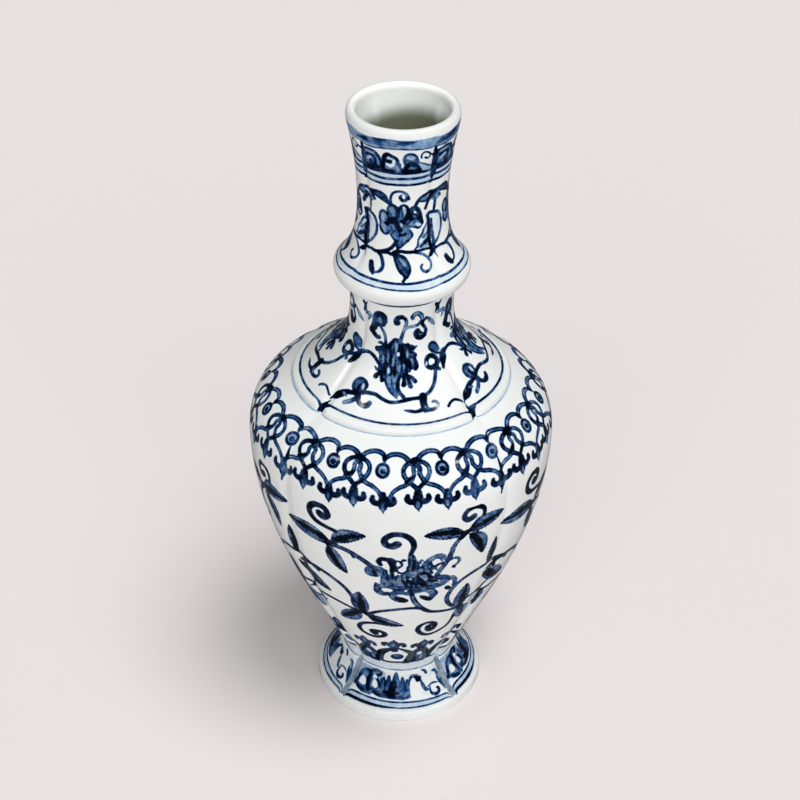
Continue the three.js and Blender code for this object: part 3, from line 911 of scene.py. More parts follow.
upper_left = [
    leaf((-25.6, 148.5), (-46.2, 153.4), 6.2, bow=-1.8),
    leaf((-25.2, 151), (-10.4, 162.2), 5.4, bow=2.4, tone=1),
    leaf((-27, 146), (-20.4, 122.5), 5.6, bow=-1.4, tone=0.95),
    even((-27.5, 147.5), (-24, 150), width=4.6, tone=1),
    brush((-23, 160.5), (-27, 161.5), (-31.5, 163.6), (-34, 168.6), (-33.4, 174), (-30, 177),
          (-26.9, 175.4), (-26, 171.4), (-28, 169), (-29.4, 170.4), width=4.4, toe=1.3, tone=0.92),
    band((-26, 147), (-20, 146.6), (-15, 143), (-10, 137), (-7.6, 133.6), width=3.9, tone=0.9, rim=0.8,
         shade=0.6),
    brush((-17, 143), (-16, 140), width=2, tone=1),
]
upper_right = [
    leaf((27.6, 159.5), (11, 163.4), 5, bow=-1.4, tone=1),
    leaf((29.4, 160), (45, 164.6), 5.4, bow=1.8, tone=0.85),
    leaf((30, 158), (37.4, 134.5), 5.2, bow=2.6, tone=0.95),
    even((26, 156), (28.6, 160), width=4.2, tone=1),
    brush((35.4, 169), (35.2, 174.6), (32, 178), (28.4, 177), (26.8, 172.8), (28.6, 169.6), (31, 171),
          width=3.6, heel=0.8, toe=1.3, tone=0.9),
    brush((29, 160), (32, 166), (35, 170), tone=0.8),
    band((27, 158), (23.8, 151), (22.6, 143), (21, 136), (19, 130), (17, 122), width=3.6, toe=0.9, rim=0.75,
         shade=0.6),
    band((22, 138), (25.4, 139), (27, 135.4), (25.4, 131.6), (24.4, 130.4), width=2.2, tone=0.4),
    brush((24.4, 132), (25.2, 130), toe=1, tone=1),
    brush((19.5, 137), (17.6, 136), (16.6, 133), (17.8, 131), width=2.4, tone=0.9),
]
lower_marks = base_band + curls + lower_leaves + stems + flower + upper_left + upper_right
paint(lower_body, lower_marks, seed=8, share=0.97)
lower_body.grids["blue"][lower_body.rise < BASE_BAND_TOP] = BASE_BAND_BLUE
# A faint grey painted shade down each groove, where the crease lies in shade.
lower_body.groove(half=1.2, low=30, high=180, shade=0.07, clear=False)
lower_body.finish("lower_body")


# Upper body
# The shoulder of the vase, from the widest line in to the seat of the raised ledge.
# It was moulded as a dome and luted to the lower body, with a band of cusped lappets and pendants.

UPPER_BASE = FOOT_HEIGHT + LOWER_HEIGHT
UPPER_HEIGHT = 38.6
LEDGE_RADIUS = 65.6
LEDGE_INSIDE = 54.6
LEDGE_GROOVE = 2.0

upper_body = Shell(
    "painted_upper_body",
    base=UPPER_BASE,
    start=(GIRTH_RADIUS, 0),
    runs=[
        curve((GIRTH_RADIUS, 26.5), (77.1, 32.2), (LEDGE_RADIUS, UPPER_HEIGHT), gap=0.45),
        line((LEDGE_INSIDE, UPPER_HEIGHT), 2.5),
        curve((71.1, 26.2), (BODY_INSIDE, 23.5), (BODY_INSIDE, 0), gap=4),
        line((GIRTH_RADIUS, 0), 2),
    ],
    painted=((GIRTH_RADIUS, 0), (LEDGE_RADIUS, UPPER_HEIGHT)),
    columns=640,
    depth_at=lambda height: blend(GIRTH_GROOVE, LEDGE_GROOVE, height / UPPER_HEIGHT),
    crease=BROAD_CREASE,
    blue=0.78,
)

arch = [
    band((0.2, 34.4), (2.6, 38.2), (6.2, 40), (9.6, 39), (11.4, 36), width=3, heel=1, toe=0.8, tone=0.95,
         rim=0.62),
    band((11.2, 36), (13.6, 38.4), (17, 38.8), (20, 37), (22, 33.4), width=3, toe=1, tone=0.95, rim=0.62),
    brush((10.4, 38), (11.2, 33.8), width=2.6, tone=1.05),
    ring((10.6, 28.8), 2.4, 3.7, 2.1, 0.85),
    tint((8.6, 26), (10.6, 25.2), (12.6, 26), (12.8, 31.4), (10.6, 32.4), (8.6, 31.4), shade=0.32),
    dot((10.6, 28.4), 3.6, tone=0.85),
]
loops = [
    band((0.5, 34.4), (-3, 33.6), (-5.2, 30.6), (-5.3, 27), (-3.8, 23.4), (-1.4, 20.2), (0.5, 17),
         (1.2, 13), width=2.7, heel=1, toe=0.9, tone=1.1, rim=0.7),
    band((-0.5, 34.4), (3, 33.6), (5, 30.6), (5, 27), (3.6, 23.4), (1.4, 20.2), (-0.5, 17), (-1.2, 13),
         width=2.6, heel=1, toe=0.9, rim=0.55),
    band((0.5, 33), (-1.3, 30.6), (-1.2, 27), (-2.6, 23), (-4.6, 20.8), (-7, 19.4), (-9.4, 16.6), (-11, 12),
         width=2.5, heel=1, toe=0.9, tone=0.8, rim=0.55),
    band((-0.5, 33), (1.3, 30.6), (1.2, 27), (2.6, 23), (4.6, 20.8), (7, 19.4), (9.4, 16.6), (11, 12),
         width=2.6, heel=1, toe=0.9, tone=0.95, rim=0.62),
    brush((-2.4, 34), (0, 35.4), (2.4, 34), width=3.6, tone=1.1),
    brush((-4.6, 22.6), (-2.6, 24.4), (-1, 26.4), width=2.6, tone=1.1),
    brush((0.6, 19.4), (2.6, 21.6), (4, 23), width=2.6, tone=1.05),
    brush((-5.6, 30), (-5.8, 26.6), (-4.4, 23.6), width=1.6, tone=1.1),
]
pendant = [
    brush((0, 16.6), (0, 12.6), (0, 9), (0.2, 4.2), width=5.6, heel=0.6, toe=0.16, tone=0.82),
    brush((-3.9, 14.4), (-4, 12.2), (-2.8, 10.6), (-0.6, 10.8), width=3.9, heel=0.75, toe=1, tone=0.9),
    brush((3.9, 14.2), (4, 12), (2.8, 10.6), (0.6, 10.8), width=3.9, heel=0.75, toe=1),
    glint((-0.2, 10.4), (0, 6.8), width=1.5, shade=0.5),
]
shoulder = [brush((-47.4, 1), (-47, 9), (-46.6, 18), (-46.8, 26), tone=0.9)]
for turn, darker in ((-37, 0.08), (-15.6, 0.02), (8.9, 0.1), (31.6, -0.12)):
    shoulder += moved(arch, turn, darker=darker) + moved(loops, turn, darker=darker)
    shoulder += moved(pendant, turn, darker=darker) + moved(pendant, turn + 11.4, -1.5, darker=darker)
shoulder.append(tint((-46, 49.4), (0, 49.6), (46, 49.4), (46, 51), (0, 51), (-46, 51), shade=0.22))
paint(upper_body, shoulder, seed=14, share=0.964, unit=0.4)
# A faint grey painted shade down each groove, where the crease lies in shade.
upper_body.groove(half=1.2, low=0, high=52, shade=0.05, clear=False)
upper_body.finish("upper_body")


# Neck
# The raised ledge and the cap that sweeps up from it into the lower neck, in one moulded section.
# The ledge is notched where it crosses the grooves; the cap carries a peony on a scrolling stem.

NECK_BASE = UPPER_BASE + UPPER_HEIGHT
NECK_HEIGHT = 67
NECK_RADIUS = 30.4
COLLAR_RADIUS = 31.2
COLLAR_GROOVE = 1.4
NECK_WALL = 5.2
NECK_INSIDE = NECK_RADIUS - NECK_WALL
COLLAR_INSIDE = COLLAR_RADIUS - NECK_WALL
LEDGE_TOP = 4.2
WAIST_HEIGHT = 55.4


def neck_grooves(height):
    """Notched deep over the ledge, then shallower over the cap and up to the collar."""
    depth = blend(LEDGE_GROOVE, 3.6, ease(height, 0, LEDGE_TOP / 2))
    depth = blend(depth, 2.2, ease(height, LEDGE_TOP, 12.6))
    return blend(depth, COLLAR_GROOVE, ease(height, 23.4, NECK_HEIGHT))


neck = Shell(
    "painted_neck",
    base=NECK_BASE,
    start=(LEDGE_RADIUS, 0),
    runs=[
        line((LEDGE_RADIUS, 0.95), 0.5),
        curve((LEDGE_RADIUS, 3.25), (63.7, LEDGE_TOP), (60.6, LEDGE_TOP), gap=0.4),
        curve((38.5, 27.6), (NECK_RADIUS, 24.9), (NECK_RADIUS, WAIST_HEIGHT), gap=0.5),
        curve((NECK_RADIUS, 61.2), (COLLAR_RADIUS, NECK_HEIGHT), gap=0.5),
        line((COLLAR_INSIDE, NECK_HEIGHT), 1.5),
        line((NECK_INSIDE, WAIST_HEIGHT), 6),
        curve((NECK_INSIDE, 24.9), (32.5, 23.4), (LEDGE_INSIDE, 0), gap=5),
        line((LEDGE_RADIUS, 0), 3),
    ],
    painted=((LEDGE_RADIUS, 0), (COLLAR_RADIUS, NECK_HEIGHT)),
    columns=512,
    depth_at=neck_grooves,
    crease=TIGHT_CREASE,
    blue=0.78,
)

cap_line = [
    brush((-45.2, 0), (-44.4, 4), (-42.6, 6.6), (-40, 7.8), (-30, 7.9), (0, 7.6), (18, 7.2), (34, 6.9),
          (40, 6.4), (43, 3.6), (44.7, 0), width=1.6, heel=1.6, toe=0.8, tone=0.72),
    brush((-46.4, -1), (-46, 4), (-45.2, 8.6), width=2.4, heel=1, tone=1.05),
    brush((45, 0), (46.2, 4.4), (48, 6.4), width=1.6, tone=1),
    # A dark ring round the collar right under the flange: partly a glaze line at the joint, partly painted
    # shadow of the flange.
    even((-46, 80.5), (0, 80.7), (46, 80.5), width=1.5, tone=0.95),
]
cap_scroll = [
    brush((-30, 21), (-26, 22.8), (-22, 23.8), (-16, 23.8), (-11, 22), (-5, 20.4), (2, 21.2), (9, 22.4),
          (16, 23), (23, 25), (29, 29.6), (33, 35), (36, 39.4), heel=1.3, toe=1.1, tone=0.72),
    brush((1, 21), (6, 22.4), (14, 22.6), (20, 23.6), tone=0.95),
    tint((-35.6, 25), (-35, 29), (-31, 31.2), (-26, 30.4), (-23.2, 27.6), (-25, 25.2), (-28, 23), (-32, 22),
         shade=0.55),
    brush((-31, 21.6), (-34.6, 25), (-34.6, 28.4), (-31.4, 30.4), (-27, 29.8), (-24.4, 27.4), (-25.4, 25.4),
          heel=1.2, toe=1, tone=0.8),
    brush((-29, 22), (-30.6, 25.4), (-29, 27.4), width=2.6, tone=1),
    glint((-27.6, 27.4), (-26.6, 25.4), width=1.4, shade=0.15),
    brush((-28, 20.6), (-26.4, 17), (-23, 15.4), (-20, 16), (-18.8, 18), width=2.8, heel=1.1, toe=1.1,
          tone=0.7),
    brush((-22.6, 16.4), (-19.6, 17), tone=1.05),
    brush((-28, 20.4), (-31, 16.6), (-35.6, 13.6), width=3, heel=1, toe=0.9, tone=0.65),
    brush((-31, 21), (-36, 20.2), (-40, 18), (-43, 14.4), (-45.6, 10), width=3.6, toe=0.3, tone=1),
    brush((-36, 19.6), (-40, 15.6), (-45, 11), width=2.6, tone=1.05),
    glint((-38.6, 18.6), (-36, 17.6), width=1.1, shade=0.5),
    brush((17.8, 23), (17.4, 19), (18, 15.4), width=4.6, heel=1.1, toe=0.9, tone=1),
    brush((17.6, 16), (12, 14.8), (8, 15.4), (4.4, 16), width=2, heel=1.5, toe=0.4, tone=0.75),
    brush((18, 15.4), (22, 14.6), (25.8, 15.4), (27, 17.4), (25, 19.2), (23.6, 19), heel=1.3, toe=0.7,
          tone=0.8),
    glint((18, 17), (20.4, 15.6), width=1.2, shade=0.5),
    brush((33.4, 14), (35.2, 15.6), (38, 16.4), (40.6, 15), (43, 12), width=1.7, heel=1.1, toe=0.6, tone=1),
    even((35.6, 39), (30.6, 38.6), (27.4, 40.4), (28, 43.6), (31.6, 45.4), (35.6, 44.8), (38.2, 42.6),
         (37.4, 40.4), width=3, tone=0.92),
    brush((27.8, 42.4), (25.6, 40.4), width=1.6, tone=0.3),
    brush((30, 38.6), (35, 38.4), (37.6, 36.4), width=2.4, toe=1, tone=0.65),
    brush((36, 37.4), (38.4, 39.8), (43, 41.6), (48, 45), (54, 46.6), width=2, heel=0.9, toe=0.8, tone=0.7),
    tint((-44, 45), (-50, 45.6), (-56, 49), (-56, 52), (-52, 53), (-47, 51), shade=0.5),
    brush((-44.6, 43.6), (-49, 45), (-55, 48.4), (-56.6, 51), (-53, 52.6), (-47, 50), (-44.4, 46.4),
          width=2, tone=0.8),
    brush((-48, 36), (-45, 40), (-41.6, 44), width=4.4, toe=0.6, tone=0.95),
    brush((-45, 41.6), (-40, 45), (-34, 46.6), (-27, 45.4), (-21, 42.6), (-16, 40), heel=1.1, toe=1),
]
peony = [
    tint((-12.4, 37.4), (-9.6, 30.6), (-5, 25.8), (0, 23.6), (1.4, 29), (1.6, 36.8), shade=0.5),
    brush((-12, 37.4), (-9.8, 31.4), (-6, 27), (-1, 23.4), width=1.8, heel=0.8, toe=0.9, tone=0.7),
    brush((1.6, 37), (-0.6, 32), (0.4, 27.4), (4, 23.6), width=2.4, heel=0.8, toe=1),
    brush((-6, 37), (-5.4, 31), (-2, 25.6), width=1, tone=0.7),
    glint((-8.4, 34.6), (-7, 30), width=1, shade=0.42),
    glint((-3.4, 34), (-2.6, 29), width=1, shade=0.42),
    tint((-24, 52), (-18, 53.4), (-10, 54), (-4, 58), (3, 55.4), (9, 55.4), (17.6, 53), (14.4, 47.6),
         (17.6, 41), (10.6, 39), (4, 34.6), (-4, 36.6), (-14, 35.6), (-20, 39), (-20, 45), (-25, 49.6),
         shade=0.6),
    brush((-12.6, 38), (-13.4, 43), (-15, 48), (-16.6, 53), width=4.2, toe=0.8, tone=0.95),
    brush((-8, 37), (-7.4, 43), (-8.8, 48.6), (-11.4, 53), width=3, heel=0.9, toe=0.9, tone=1),
    brush((-3.6, 36), (-4, 42), (-5, 47), width=3, tone=1.05),
    brush((-12, 52.6), (-8.4, 55.6), (-5, 57.6), (-2, 57.2), (-1, 54), width=2.4, heel=1.2, toe=1, tone=1),
    brush((-6.2, 53), (-5.8, 49), width=1.4, tone=0.9),
    brush((0.6, 57), (0.4, 54), (-0.8, 51), (1, 47), (2.6, 43), (2, 38), width=2.8, heel=0.8, tone=1),
    brush((3, 55), (3, 51.4), (5, 48.6), (6.4, 44), (7, 38.6), (6, 34.8), width=3.2, tone=1),
    brush((5, 55), (7.6, 53.4), (7, 49.6), width=1.6, tone=0.8),
    brush((9.2, 54.6), (11, 52.4), (14, 52), (18.6, 53), width=2.6, heel=0.9, toe=0.6, tone=1),
    brush((10, 51), (13.4, 49.4), (16.6, 47.8), width=2.8, toe=1, tone=1),
    brush((9, 48), (12.4, 47), (16, 44.8), (17, 41.4), (15.4, 40), width=2.6, heel=0.9, toe=1, tone=0.9),
    brush((9.6, 46), (11, 42), (9.8, 38.6), width=2.6, tone=0.95),
    brush((4, 38), (4.8, 34), (4.4, 31), width=2.6, toe=1.2, tone=1),
    brush((6.6, 37), (8.6, 33.6), (9.6, 30), width=2.6, toe=1.2, tone=0.95),
    brush((8, 36.4), (11.4, 35), (13.4, 32.8), width=2.4, toe=1.3, tone=0.9),
    brush((-14, 38), (-17.6, 36.6), (-19.8, 34.4), width=2.6, toe=1.3, tone=0.9),
    brush((-15, 37.4), (-14.6, 34.8), (-13.6, 32.8), width=2.4, toe=1.2, tone=1),
    brush((-17.6, 38.4), (-20.6, 38.4), (-23, 39.8), width=1.6, tone=0.6),
    brush((-17, 51), (-21, 50.4), (-24.6, 50.2), width=3, toe=1.1, tone=0.75),
    brush((-17, 53.4), (-20.6, 54.4), (-24, 54), width=2, tone=0.7),
    brush((-16, 49), (-19.6, 46.4), (-18, 42), width=2, tone=0.8),
    glint((-9.6, 40), (-9, 37.6), width=1.8, shade=0.2),
    glint((-0.9, 49.6), (-0.7, 48.2), width=1.6, shade=0.1),
    glint((4.6, 43), (4.9, 40.6), width=1, shade=0.4),
    glint((-11.6, 48), (-11, 44), width=1, shade=0.4),
    glint((-6, 46), (-5.8, 42), width=0.9, shade=0.42),
    glint((8.6, 50.4), (8.4, 47), width=1, shade=0.35),
    glint((-2.6, 55), (-3, 51), width=1.1, shade=0.3),
    glint((13, 45.6), (13.4, 42.4), width=1.2, shade=0.4),
    glint((-16.6, 46.6), (-16, 43), width=0.9, shade=0.4),
    glint((1, 42), (0.6, 39), width=0.8, shade=0.4),
]
neck_curls = [
    brush((-16.4, 50), (-15.4, 55), (-17, 60), (-20.6, 63.6), (-26, 66), width=2, heel=1.1, tone=0.7),
    brush((-19.6, 66.4), (-17.8, 69), (-19, 72), (-23.4, 73), (-27.6, 71), (-29, 67), (-31, 63.4),
          (-33.4, 61), width=4.8, toe=0.9),
    brush((-34.4, 61.4), (-31, 59.4), (-26.6, 57.6), (-24, 57.6), width=3.2, heel=0.9, toe=0.9, tone=0.95),
    brush((-30, 64), (-26, 66.6), (-23.6, 69.6), width=3.6, tone=0.8),
    glint((-23.6, 70.4), (-22.6, 67.6), width=1, shade=0.5),
    brush((-46, 76.8), (-43.6, 75.4), (-42.2, 72), width=2.6, heel=0.8, toe=0.7, tone=0.9),
    brush((-42, 72), (-38, 70.6), (-37, 68.4), (-38.6, 66.6), width=1.8, tone=0.5),
    brush((-37, 72), (-34, 69), width=1.8, tone=0.6),
    brush((0.6, 56), (3, 60.6), (6, 65.6), (7.8, 69), (6.6, 71.8), width=2.1, heel=1.2, toe=1, tone=0.6),
    brush((6.6, 71.6), (2.6, 73), (-1.6, 72.4), (-3.6, 70.4), (-2.8, 69), width=3.4, heel=0.6, toe=1.2,
          tone=0.9),
    brush((5.6, 64.6), (10, 66), (16, 66.2), (21.6, 67), (24.4, 69), width=2, heel=0.9, toe=0.9, tone=0.42),
    band((14.6, 72), (17, 74.2), (21, 74.8), (25, 72.8), (27, 69.6), width=3, toe=0.8, tone=0.75,
         shade=0.4),
    even((14, 73), (15.2, 71.4), width=1.9, tone=0.95),
    brush((31.6, 70.4), (27.6, 68.6), (26.8, 66.6), (29.4, 64.4), (31, 61.8), (28.6, 59), width=2.3,
          heel=0.9, toe=1.2, tone=0.95),
    brush((29, 59.4), (25, 58.2), (21, 58.8), (18.8, 61), (20.4, 62.6), width=3.6, heel=0.9, toe=1.1,
          tone=1.05),
    brush((24, 61.6), (26.4, 60), tone=1),
    tint((31, 70.6), (35, 70.8), (40, 68), (44.4, 63.4), (42.6, 62.4), (37, 65), (33, 68), shade=0.42),
    brush((31, 70), (34.6, 69.4), (36.6, 67.4), width=1, tone=0.95),
    brush((44.6, 71), (46.4, 74.6), (50.6, 78.6), width=1.9, heel=0.8, toe=0.4, tone=0.9),
    brush((47.6, 70), (52, 71.4), (56, 71), tone=0.4),
]
paint(neck, cap_line + cap_scroll + peony + neck_curls, seed=21, share=0.956)
neck.finish("neck")


# Mouth
# The round flange, the bell of the upper neck and the rolled lip, moulded as the last section.
# It was luted on the neck a little turned, with a lotus on a ring of stem and a scroll band under the lip.

MOUTH_BASE = NECK_BASE + NECK_HEIGHT
MOUTH_HEIGHT = 110.4
FLANGE_RADIUS = 39.9
FLANGE_TOP = 13.4
BELL_FOOT = 23.4
BELL_GROOVE = 1.8
THROAT_RADIUS = 25.9
THROAT_HEIGHT = 54.4
MOUTH_WALL = 5
THROAT_INSIDE = THROAT_RADIUS - MOUTH_WALL
LIP_FOOT = 102.9


def mouth_grooves(height):
    """Fading out under the flange, none on it or on the lip, and shallow on the bell between them."""
    below = COLLAR_GROOVE * (1 - ease(height, 0, 4.8))
    return below + BELL_GROOVE * ease(height, FLANGE_TOP, BELL_FOOT) * (1 - ease(height, 96.9, LIP_FOOT))


mouth = Shell(
    "painted_mouth",
    base=MOUTH_BASE,
    start=(COLLAR_RADIUS, 0),
    runs=[
        curve((36, 1.7), (FLANGE_RADIUS, 4.8), (FLANGE_RADIUS, 9.6), gap=0.55),
        curve((FLANGE_RADIUS, 11.5), (38.2, FLANGE_TOP), gap=0.5),
        curve((29.8, BELL_FOOT), (THROAT_RADIUS, 32.1), (THROAT_RADIUS, THROAT_HEIGHT), gap=0.55),
        curve((THROAT_RADIUS, 67.7), (27.7, 83.6), (31.4, 101.4), gap=0.55),
        curve((31.9, LIP_FOOT), (32.9, MOUTH_HEIGHT), (29.6, MOUTH_HEIGHT), gap=0.5),
        curve((27.8, MOUTH_HEIGHT), (26.5, 108.9), (26.5, 105.9), gap=0.8),
        curve((24.65, 92.4), (THROAT_INSIDE, 67.7), (THROAT_INSIDE, THROAT_HEIGHT), gap=5),
        curve((THROAT_INSIDE, 32.1), (COLLAR_INSIDE, 19.6), (COLLAR_INSIDE, 0), gap=6),
        line((COLLAR_RADIUS, 0), 2),
    ],
    painted=((COLLAR_RADIUS, 0), (29.6, MOUTH_HEIGHT)),
    columns=380,
    depth_at=mouth_grooves,
    crease=TIGHT_CREASE,
    blue=0.85,
    turn=-4.5,
)

mouth_lines = [
    brush((-45, 19.4), (-20, 19.2), (10, 18.6), (30, 18.2), (45, 19.2), width=1, heel=1.1, toe=0.8,
          tone=0.5),
    brush((-45, 23), (-20, 22.9), (10, 22.4), (30, 22.7), (45, 23), width=1.5, heel=1, toe=0.9, tone=0.68),
    tint((-46, 19.4), (0, 19), (46, 19.2), (46, 23), (0, 22.6), (-46, 23), shade=0.1),
    brush((-47, 81.8), (-40, 82.8), (-20, 82.8), (0, 83.2), (25, 83), (40, 83), (46, 82), width=1.7,
          heel=0.9, toe=0.9, tone=0.82),
    brush((-47, 85.6), (-40, 86.8), (-20, 86.6), (5, 87.2), (25, 87), (40, 87.2), (46, 86), width=1.9,
          heel=0.9, toe=0.8, tone=0.62),
    tint((-46, 82), (0, 83.2), (46, 82), (46, 90), (0, 90.4), (-46, 90), shade=0.14),
    brush((-47, 90), (-35, 90.4), (-15, 91), (5, 91), (20, 91), (40, 90.6), (46, 90), heel=0.9, toe=0.7,
          tone=0.9),
    brush((-46, 105.6), (-30, 106.2), (-15, 107.2), (5, 107.6), (24, 106.8), (46, 105.8), width=1.3,
          heel=0.9, toe=0.6, tone=0.6),
    tint((-46, 106), (-20, 107), (5, 107.8), (46, 106), (46, 113), (20, 113.4), (0, 113.4), (-46, 113),
         shade=0.3),
    tint((-46, 106.8), (-20, 108.2), (0, 109), (22, 111.8), (4, 113.2), (-20, 113.2), (-46, 112),
         shade=0.48),
    brush((-46, 109.4), (-32, 110.8), (-16, 111.4), (-2, 111.8), (22, 112.4), width=4.2, heel=0.6, toe=0.15,
          tone=0.6),
]
hanging = [
    brush((-25, 39), (-20, 37), (-16.4, 33.4), (-16, 30.6), (-18.6, 28.2), (-23, 27), heel=1.1, toe=0.6,
          tone=0.65),
    brush((-31.4, 31.6), (-29.6, 29), (-26, 26.6), width=3.8, heel=0.9, toe=0.7, tone=1),
    tint((-3, 38.6), (0.6, 32.6), (4, 29.4), (9, 27.6), (15, 27.8), (17, 31), (14, 35.4), (6, 38.8),
         shade=0.66),
    brush((-2, 39), (0.6, 34), (4.6, 29.8), (9.6, 27.4), (10.4, 25.6), (8.4, 23.8), width=2, heel=1.3,
          toe=0.8, tone=0.95),
    brush((2.6, 38.8), (9.6, 37.6), (15, 33.6), (16.2, 29.8), (13, 26.4), (10, 25), width=1.7, heel=1,
          toe=0.8),
    brush((0, 38), (4.6, 34.6), (9.6, 30), width=1.8, heel=1.2, tone=0.9),
    glint((4.6, 36.6), (11, 33), width=0.9, shade=0.42),
    brush((24, 39.8), (31, 38.8), (37, 36.6), (40.6, 32.6), (39.6, 29.4), (35.6, 27.8), (31.6, 28.6),
          width=1.6, heel=1, toe=1.1, tone=0.45),
    brush((36.6, 28), (33.6, 27.6), width=1.9, tone=0.95),
    brush((31.4, 28.8), (29.8, 30.6), (31.8, 32.2), width=1.5, heel=1, toe=0.9, tone=0.6),
]
ring_stem = [
    brush((-46, 36.2), (-42.6, 38.4), (-36, 39.4), (-28, 38.8), (-20, 39.2), (-12, 39.8), (-6, 39),
          (0, 40.4), (6, 41), (14, 40.4), (26, 40.3), (38, 40.6), (44, 39), (48, 36), (49.6, 33.4),
          width=2.1, heel=0.8, toe=0.3, tone=1.05),
    brush((-28, 38.8), (-18, 40), (-9, 42), (-4, 44.4), (-0.6, 47.4), heel=0.9, toe=0.9),
    brush((-7, 39), (0, 40.8), (6, 41), width=2.4, tone=1),
    brush((-48.6, 36), (-45.6, 36.8), (-42, 39.4), width=3.2, tone=0.9),
    brush((-44.6, 40), (-37, 44), (-31, 49), (-29.6, 53), (-31, 57), (-36, 60.4), (-43, 61.2), (-49, 60.6),
          width=1.9, heel=0.9, toe=1.3, tone=0.62),
    brush((-45.6, 39.6), (-47, 47), (-46.4, 54), (-48, 60), width=3.2, heel=0.8, toe=0.9, tone=1),
    tint((-46, 42), (-38, 45), (-32, 50), (-31, 55), (-36, 59.6), (-46, 60), shade=0.1),
    tint((26, 42), (30, 47.5), (34, 50.4), (38, 54), (43, 57), (47, 50), (48, 43), (36, 41), shade=0.3),
    brush((24, 41.6), (28, 43.6), (30, 47.4), (34.2, 50), (37.6, 53.6), (42, 56.6), (45.4, 57.8), width=1.4,
          tone=0.5),
    brush((43, 56.6), (45, 53), (47.4, 50), (49.2, 47.8), width=2, heel=1, toe=0.5, tone=1),
    brush((32, 42.8), (37, 44.4), (42, 46.4), (46, 47.4), width=2.8, heel=0.5, toe=0.8),
    brush((47.4, 57), (47.6, 50), (48.4, 43), (48.2, 37), width=1.9, tone=0.75),
    brush((34, 47.4), (38, 48.6), (41.6, 51.6), width=1.2, tone=0.55),
    glint((31.6, 45.6), (34.6, 47), width=1.5, shade=0.08),
    glint((38.4, 51), (41.4, 53.4), width=1.5, shade=0.12),
]
lotus = [
    tint((-8, 50.6), (-2, 54), (6, 55), (14, 54.6), (20.6, 50.4), (15, 46.6), (10, 45.4), (4, 42.6),
         (0, 43), (0, 46.6), (-3, 48), shade=0.44),
    brush((-8.8, 50.8), (-4, 48.4), (0, 46.2), (1.2, 42.6), width=1.6, toe=1, tone=0.72),
    brush((1, 42.8), (5, 43.6), (10, 45.6), (14.6, 47.2), (18, 48.8), (20.8, 50.4), (18.4, 53),
          (14.6, 54.8), width=1.6, heel=0.9, toe=0.8, tone=0.75),
    brush((-8.6, 50.8), (-5, 52.8), (-0.6, 53.8), width=1.5, tone=0.75),
    brush((4.6, 50.8), (8, 50.8), (11.6, 51.6), width=2.8, heel=0.8, toe=0.8, tone=1.05),
    brush((12.6, 47.4), (15.6, 47), width=1.8, tone=1),
    brush((4, 49.6), (2, 46.4), width=0.9, tone=0.8),
    brush((7.4, 49), (6, 45.4), width=0.9, tone=0.8),
    tint((-26, 62), (-22, 64.8), (-14, 64.6), (-8, 69), (-2, 69), (4, 69), (14, 66.8), (13, 61), (22, 64),
         (30, 61), (35, 57), (22, 55), (8, 54.4), (-4, 53), (-14, 51.6), (-22, 53), (-24, 58), shade=0.5),
    tint((-24, 59.6), (-22.6, 63.4), (-18.6, 63), (-18, 59.6), (-20.6, 58), shade=0.3),
    tint((-21.6, 53.6), (-21, 57), (-16.6, 58), (-14.6, 54.6), (-17, 52.2), shade=0.34),
    brush((-12, 61), (-15.6, 64.2), (-20.6, 65), (-24.6, 63), (-25.4, 60), (-23.6, 57.4), width=1.8,
          heel=1.2, toe=0.9),
    brush((-23.6, 57.4), (-24.2, 54.6), (-21.6, 52), (-16, 50.8), (-11, 52.4), (-8, 55), width=1.8,
          heel=0.9, toe=1.3, tone=0.9),
    even((-12, 64), (-12.6, 67), (-8, 69.4), (-2.6, 68.8), (0, 66), width=1.8, tone=0.8),
    brush((-17.6, 57.4), (-10, 58.6), (-3, 59.6), (0.6, 64), (1.6, 67.6), width=3.8, heel=0.5, toe=0.5,
          tone=1),
    brush((-14, 57), (-7, 60), (0, 57), (4.6, 53.6), width=4.2, toe=0.8, tone=1.05),
    brush((2, 66), (5.6, 69), (10.6, 69.6), (15, 67), (13.8, 63.4), (9.6, 60.4), width=1.9, heel=1, toe=1.1,
          tone=0.95),
    brush((6, 68.4), (7.6, 64.6), (5, 60.6), width=1.3, tone=0.8),
    brush((6, 59), (13, 59), (20, 61.8), (27, 61.6), (35, 57), width=4.2, heel=0.8, toe=0.4, tone=1),
    brush((16, 64.4), (22, 67.6), (29, 66), (33, 61), (35.6, 57.4), width=3, heel=0.8, toe=0.5, tone=0.95),
    brush((6, 56.4), (14, 56.6), (24, 55.6), (31, 54.6), (36, 56.8), width=1.6, heel=1, tone=0.8),
    glint((8.6, 67.6), (10.4, 64.6), width=1.4, shade=0.2),
    glint((5.2, 58), (6.6, 56.4), width=1.2, shade=0.25),
    glint((27.6, 57), (31, 56), width=1.8, shade=0.16),
    glint((22, 62.6), (25.6, 61.4), width=1, shade=0.45),
    glint((-6.6, 66.6), (-4, 63), width=1.1, shade=0.4),
    glint((16, 60.6), (13, 58.6), width=0.9, shade=0.45),
    glint((-12.6, 55), (-9.6, 54), width=0.9, shade=0.45),
]
